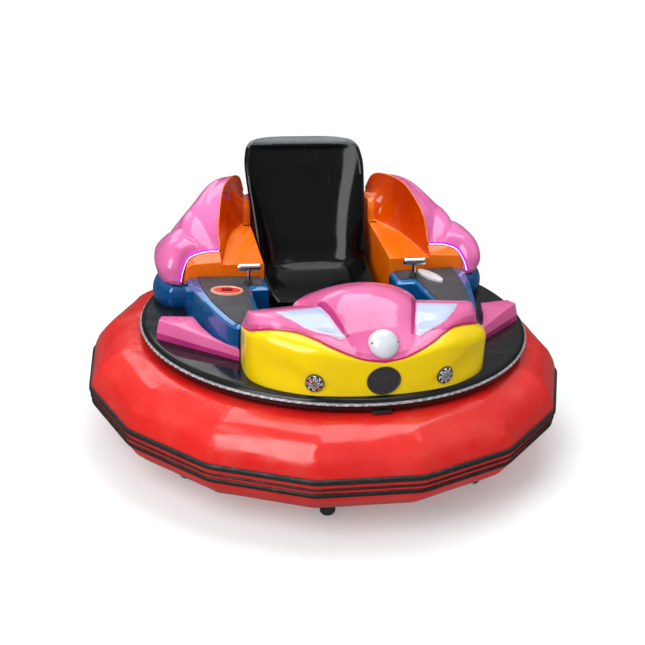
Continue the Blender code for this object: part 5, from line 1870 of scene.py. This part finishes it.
def build_back():
    base, cowl, crest = [], [], []
    skirt = [(BACK_R + out, height) for height, out in smooth(SKIRT_SHAPE, 5)]
    outside = [(COWL_R - less, height) for less, height in smooth(COWL_SHAPE, 5)]
    inside = smooth(COWL_INSIDE[:3], 4) + [COWL_INSIDE[3]]
    for i in range(BACK_STEPS + 1):
        x = BACK_HALF * (2 * i / BACK_STEPS - 1)
        section = [(x, math.sqrt(r * r - x * x), BASE + height) for r, height in skirt]
        base.append(section + [(x, BACK_FOOT_Y, BASE + POD_REAR_TOP), (x, BACK_FOOT_Y, BASE)])
        section = [(x, math.sqrt(r * r - x * x), BASE + height) for r, height in outside]
        cowl.append(section + [(x, COWL_INNER_Y + y, BASE + height) for y, height in inside])
        crest.append((x, CREST_Y, BASE + CREST_HEIGHT))
    stands_for(loops("rear_base_skin", base, "blue", sharp=50), "rear_base")
    stands_for(loops("rear_cowl_skin", cowl, "pink", sharp=50), "rear_cowl")
    bead("rear_cowl_strip", crest, CREST_R, "edge_glow")


# Foot well mat

MAT_Z = 0.1453
MAT_HALF_X = 0.195
MAT_FRONT_Y, MAT_BACK_Y = -0.385, 0.060
MAT_T = 0.004
MAT_RIBS = 21
RIB_SIZE = (2 * MAT_HALF_X - 0.02, 0.007, 0.002)


def build_mat():
    long = MAT_BACK_Y - MAT_FRONT_Y
    along, up = (1, 0, 0), (0, 0, 1)
    centre = (0, (MAT_FRONT_Y + MAT_BACK_Y) / 2, MAT_Z + MAT_T / 2)
    blocks = [block_mesh(centre, along, up, 2 * MAT_HALF_X, long, MAT_T)]
    for i in range(MAT_RIBS):
        centre = (0, MAT_FRONT_Y + long * (i + 0.5) / MAT_RIBS, MAT_Z + MAT_T + RIB_SIZE[2] / 2)
        blocks.append(block_mesh(centre, along, up, *RIB_SIZE))
    joined("foot_mat", blocks, "black_rubber")


# CAD nodes that stay, with their finishes
KEPT = {
    "tub": "dark_block",
    "chassis": "steel",
    "battery": "dark_block",
    "drive_motor": "dark_block",
    "drive_wheel": "tyre",
    "caster_fork": "zinc",
    "caster_wheel": "tyre",
    "seat_box": "dark_block",
}


def finish_nodes():
    for name, obj in NODES.items():
        for start, finish in KEPT.items():
            if name.startswith(start):
                for slot in obj.material_slots:
                    slot.material = FINISHES[finish]


build_camera()
build_world()
build_lights()
build_floor()
finish_nodes()
build_ring()
build_deck()
build_rim()
build_nose()
build_hood()
build_lamp()
build_disc()
both(build_cap)
both(build_pod)
both(build_console)
both(build_handle)
build_controls()
both(build_fin)
both(build_wing)
both(build_wing_inner, build_step)
both(build_slot)
build_seat()
build_back()
build_mat()
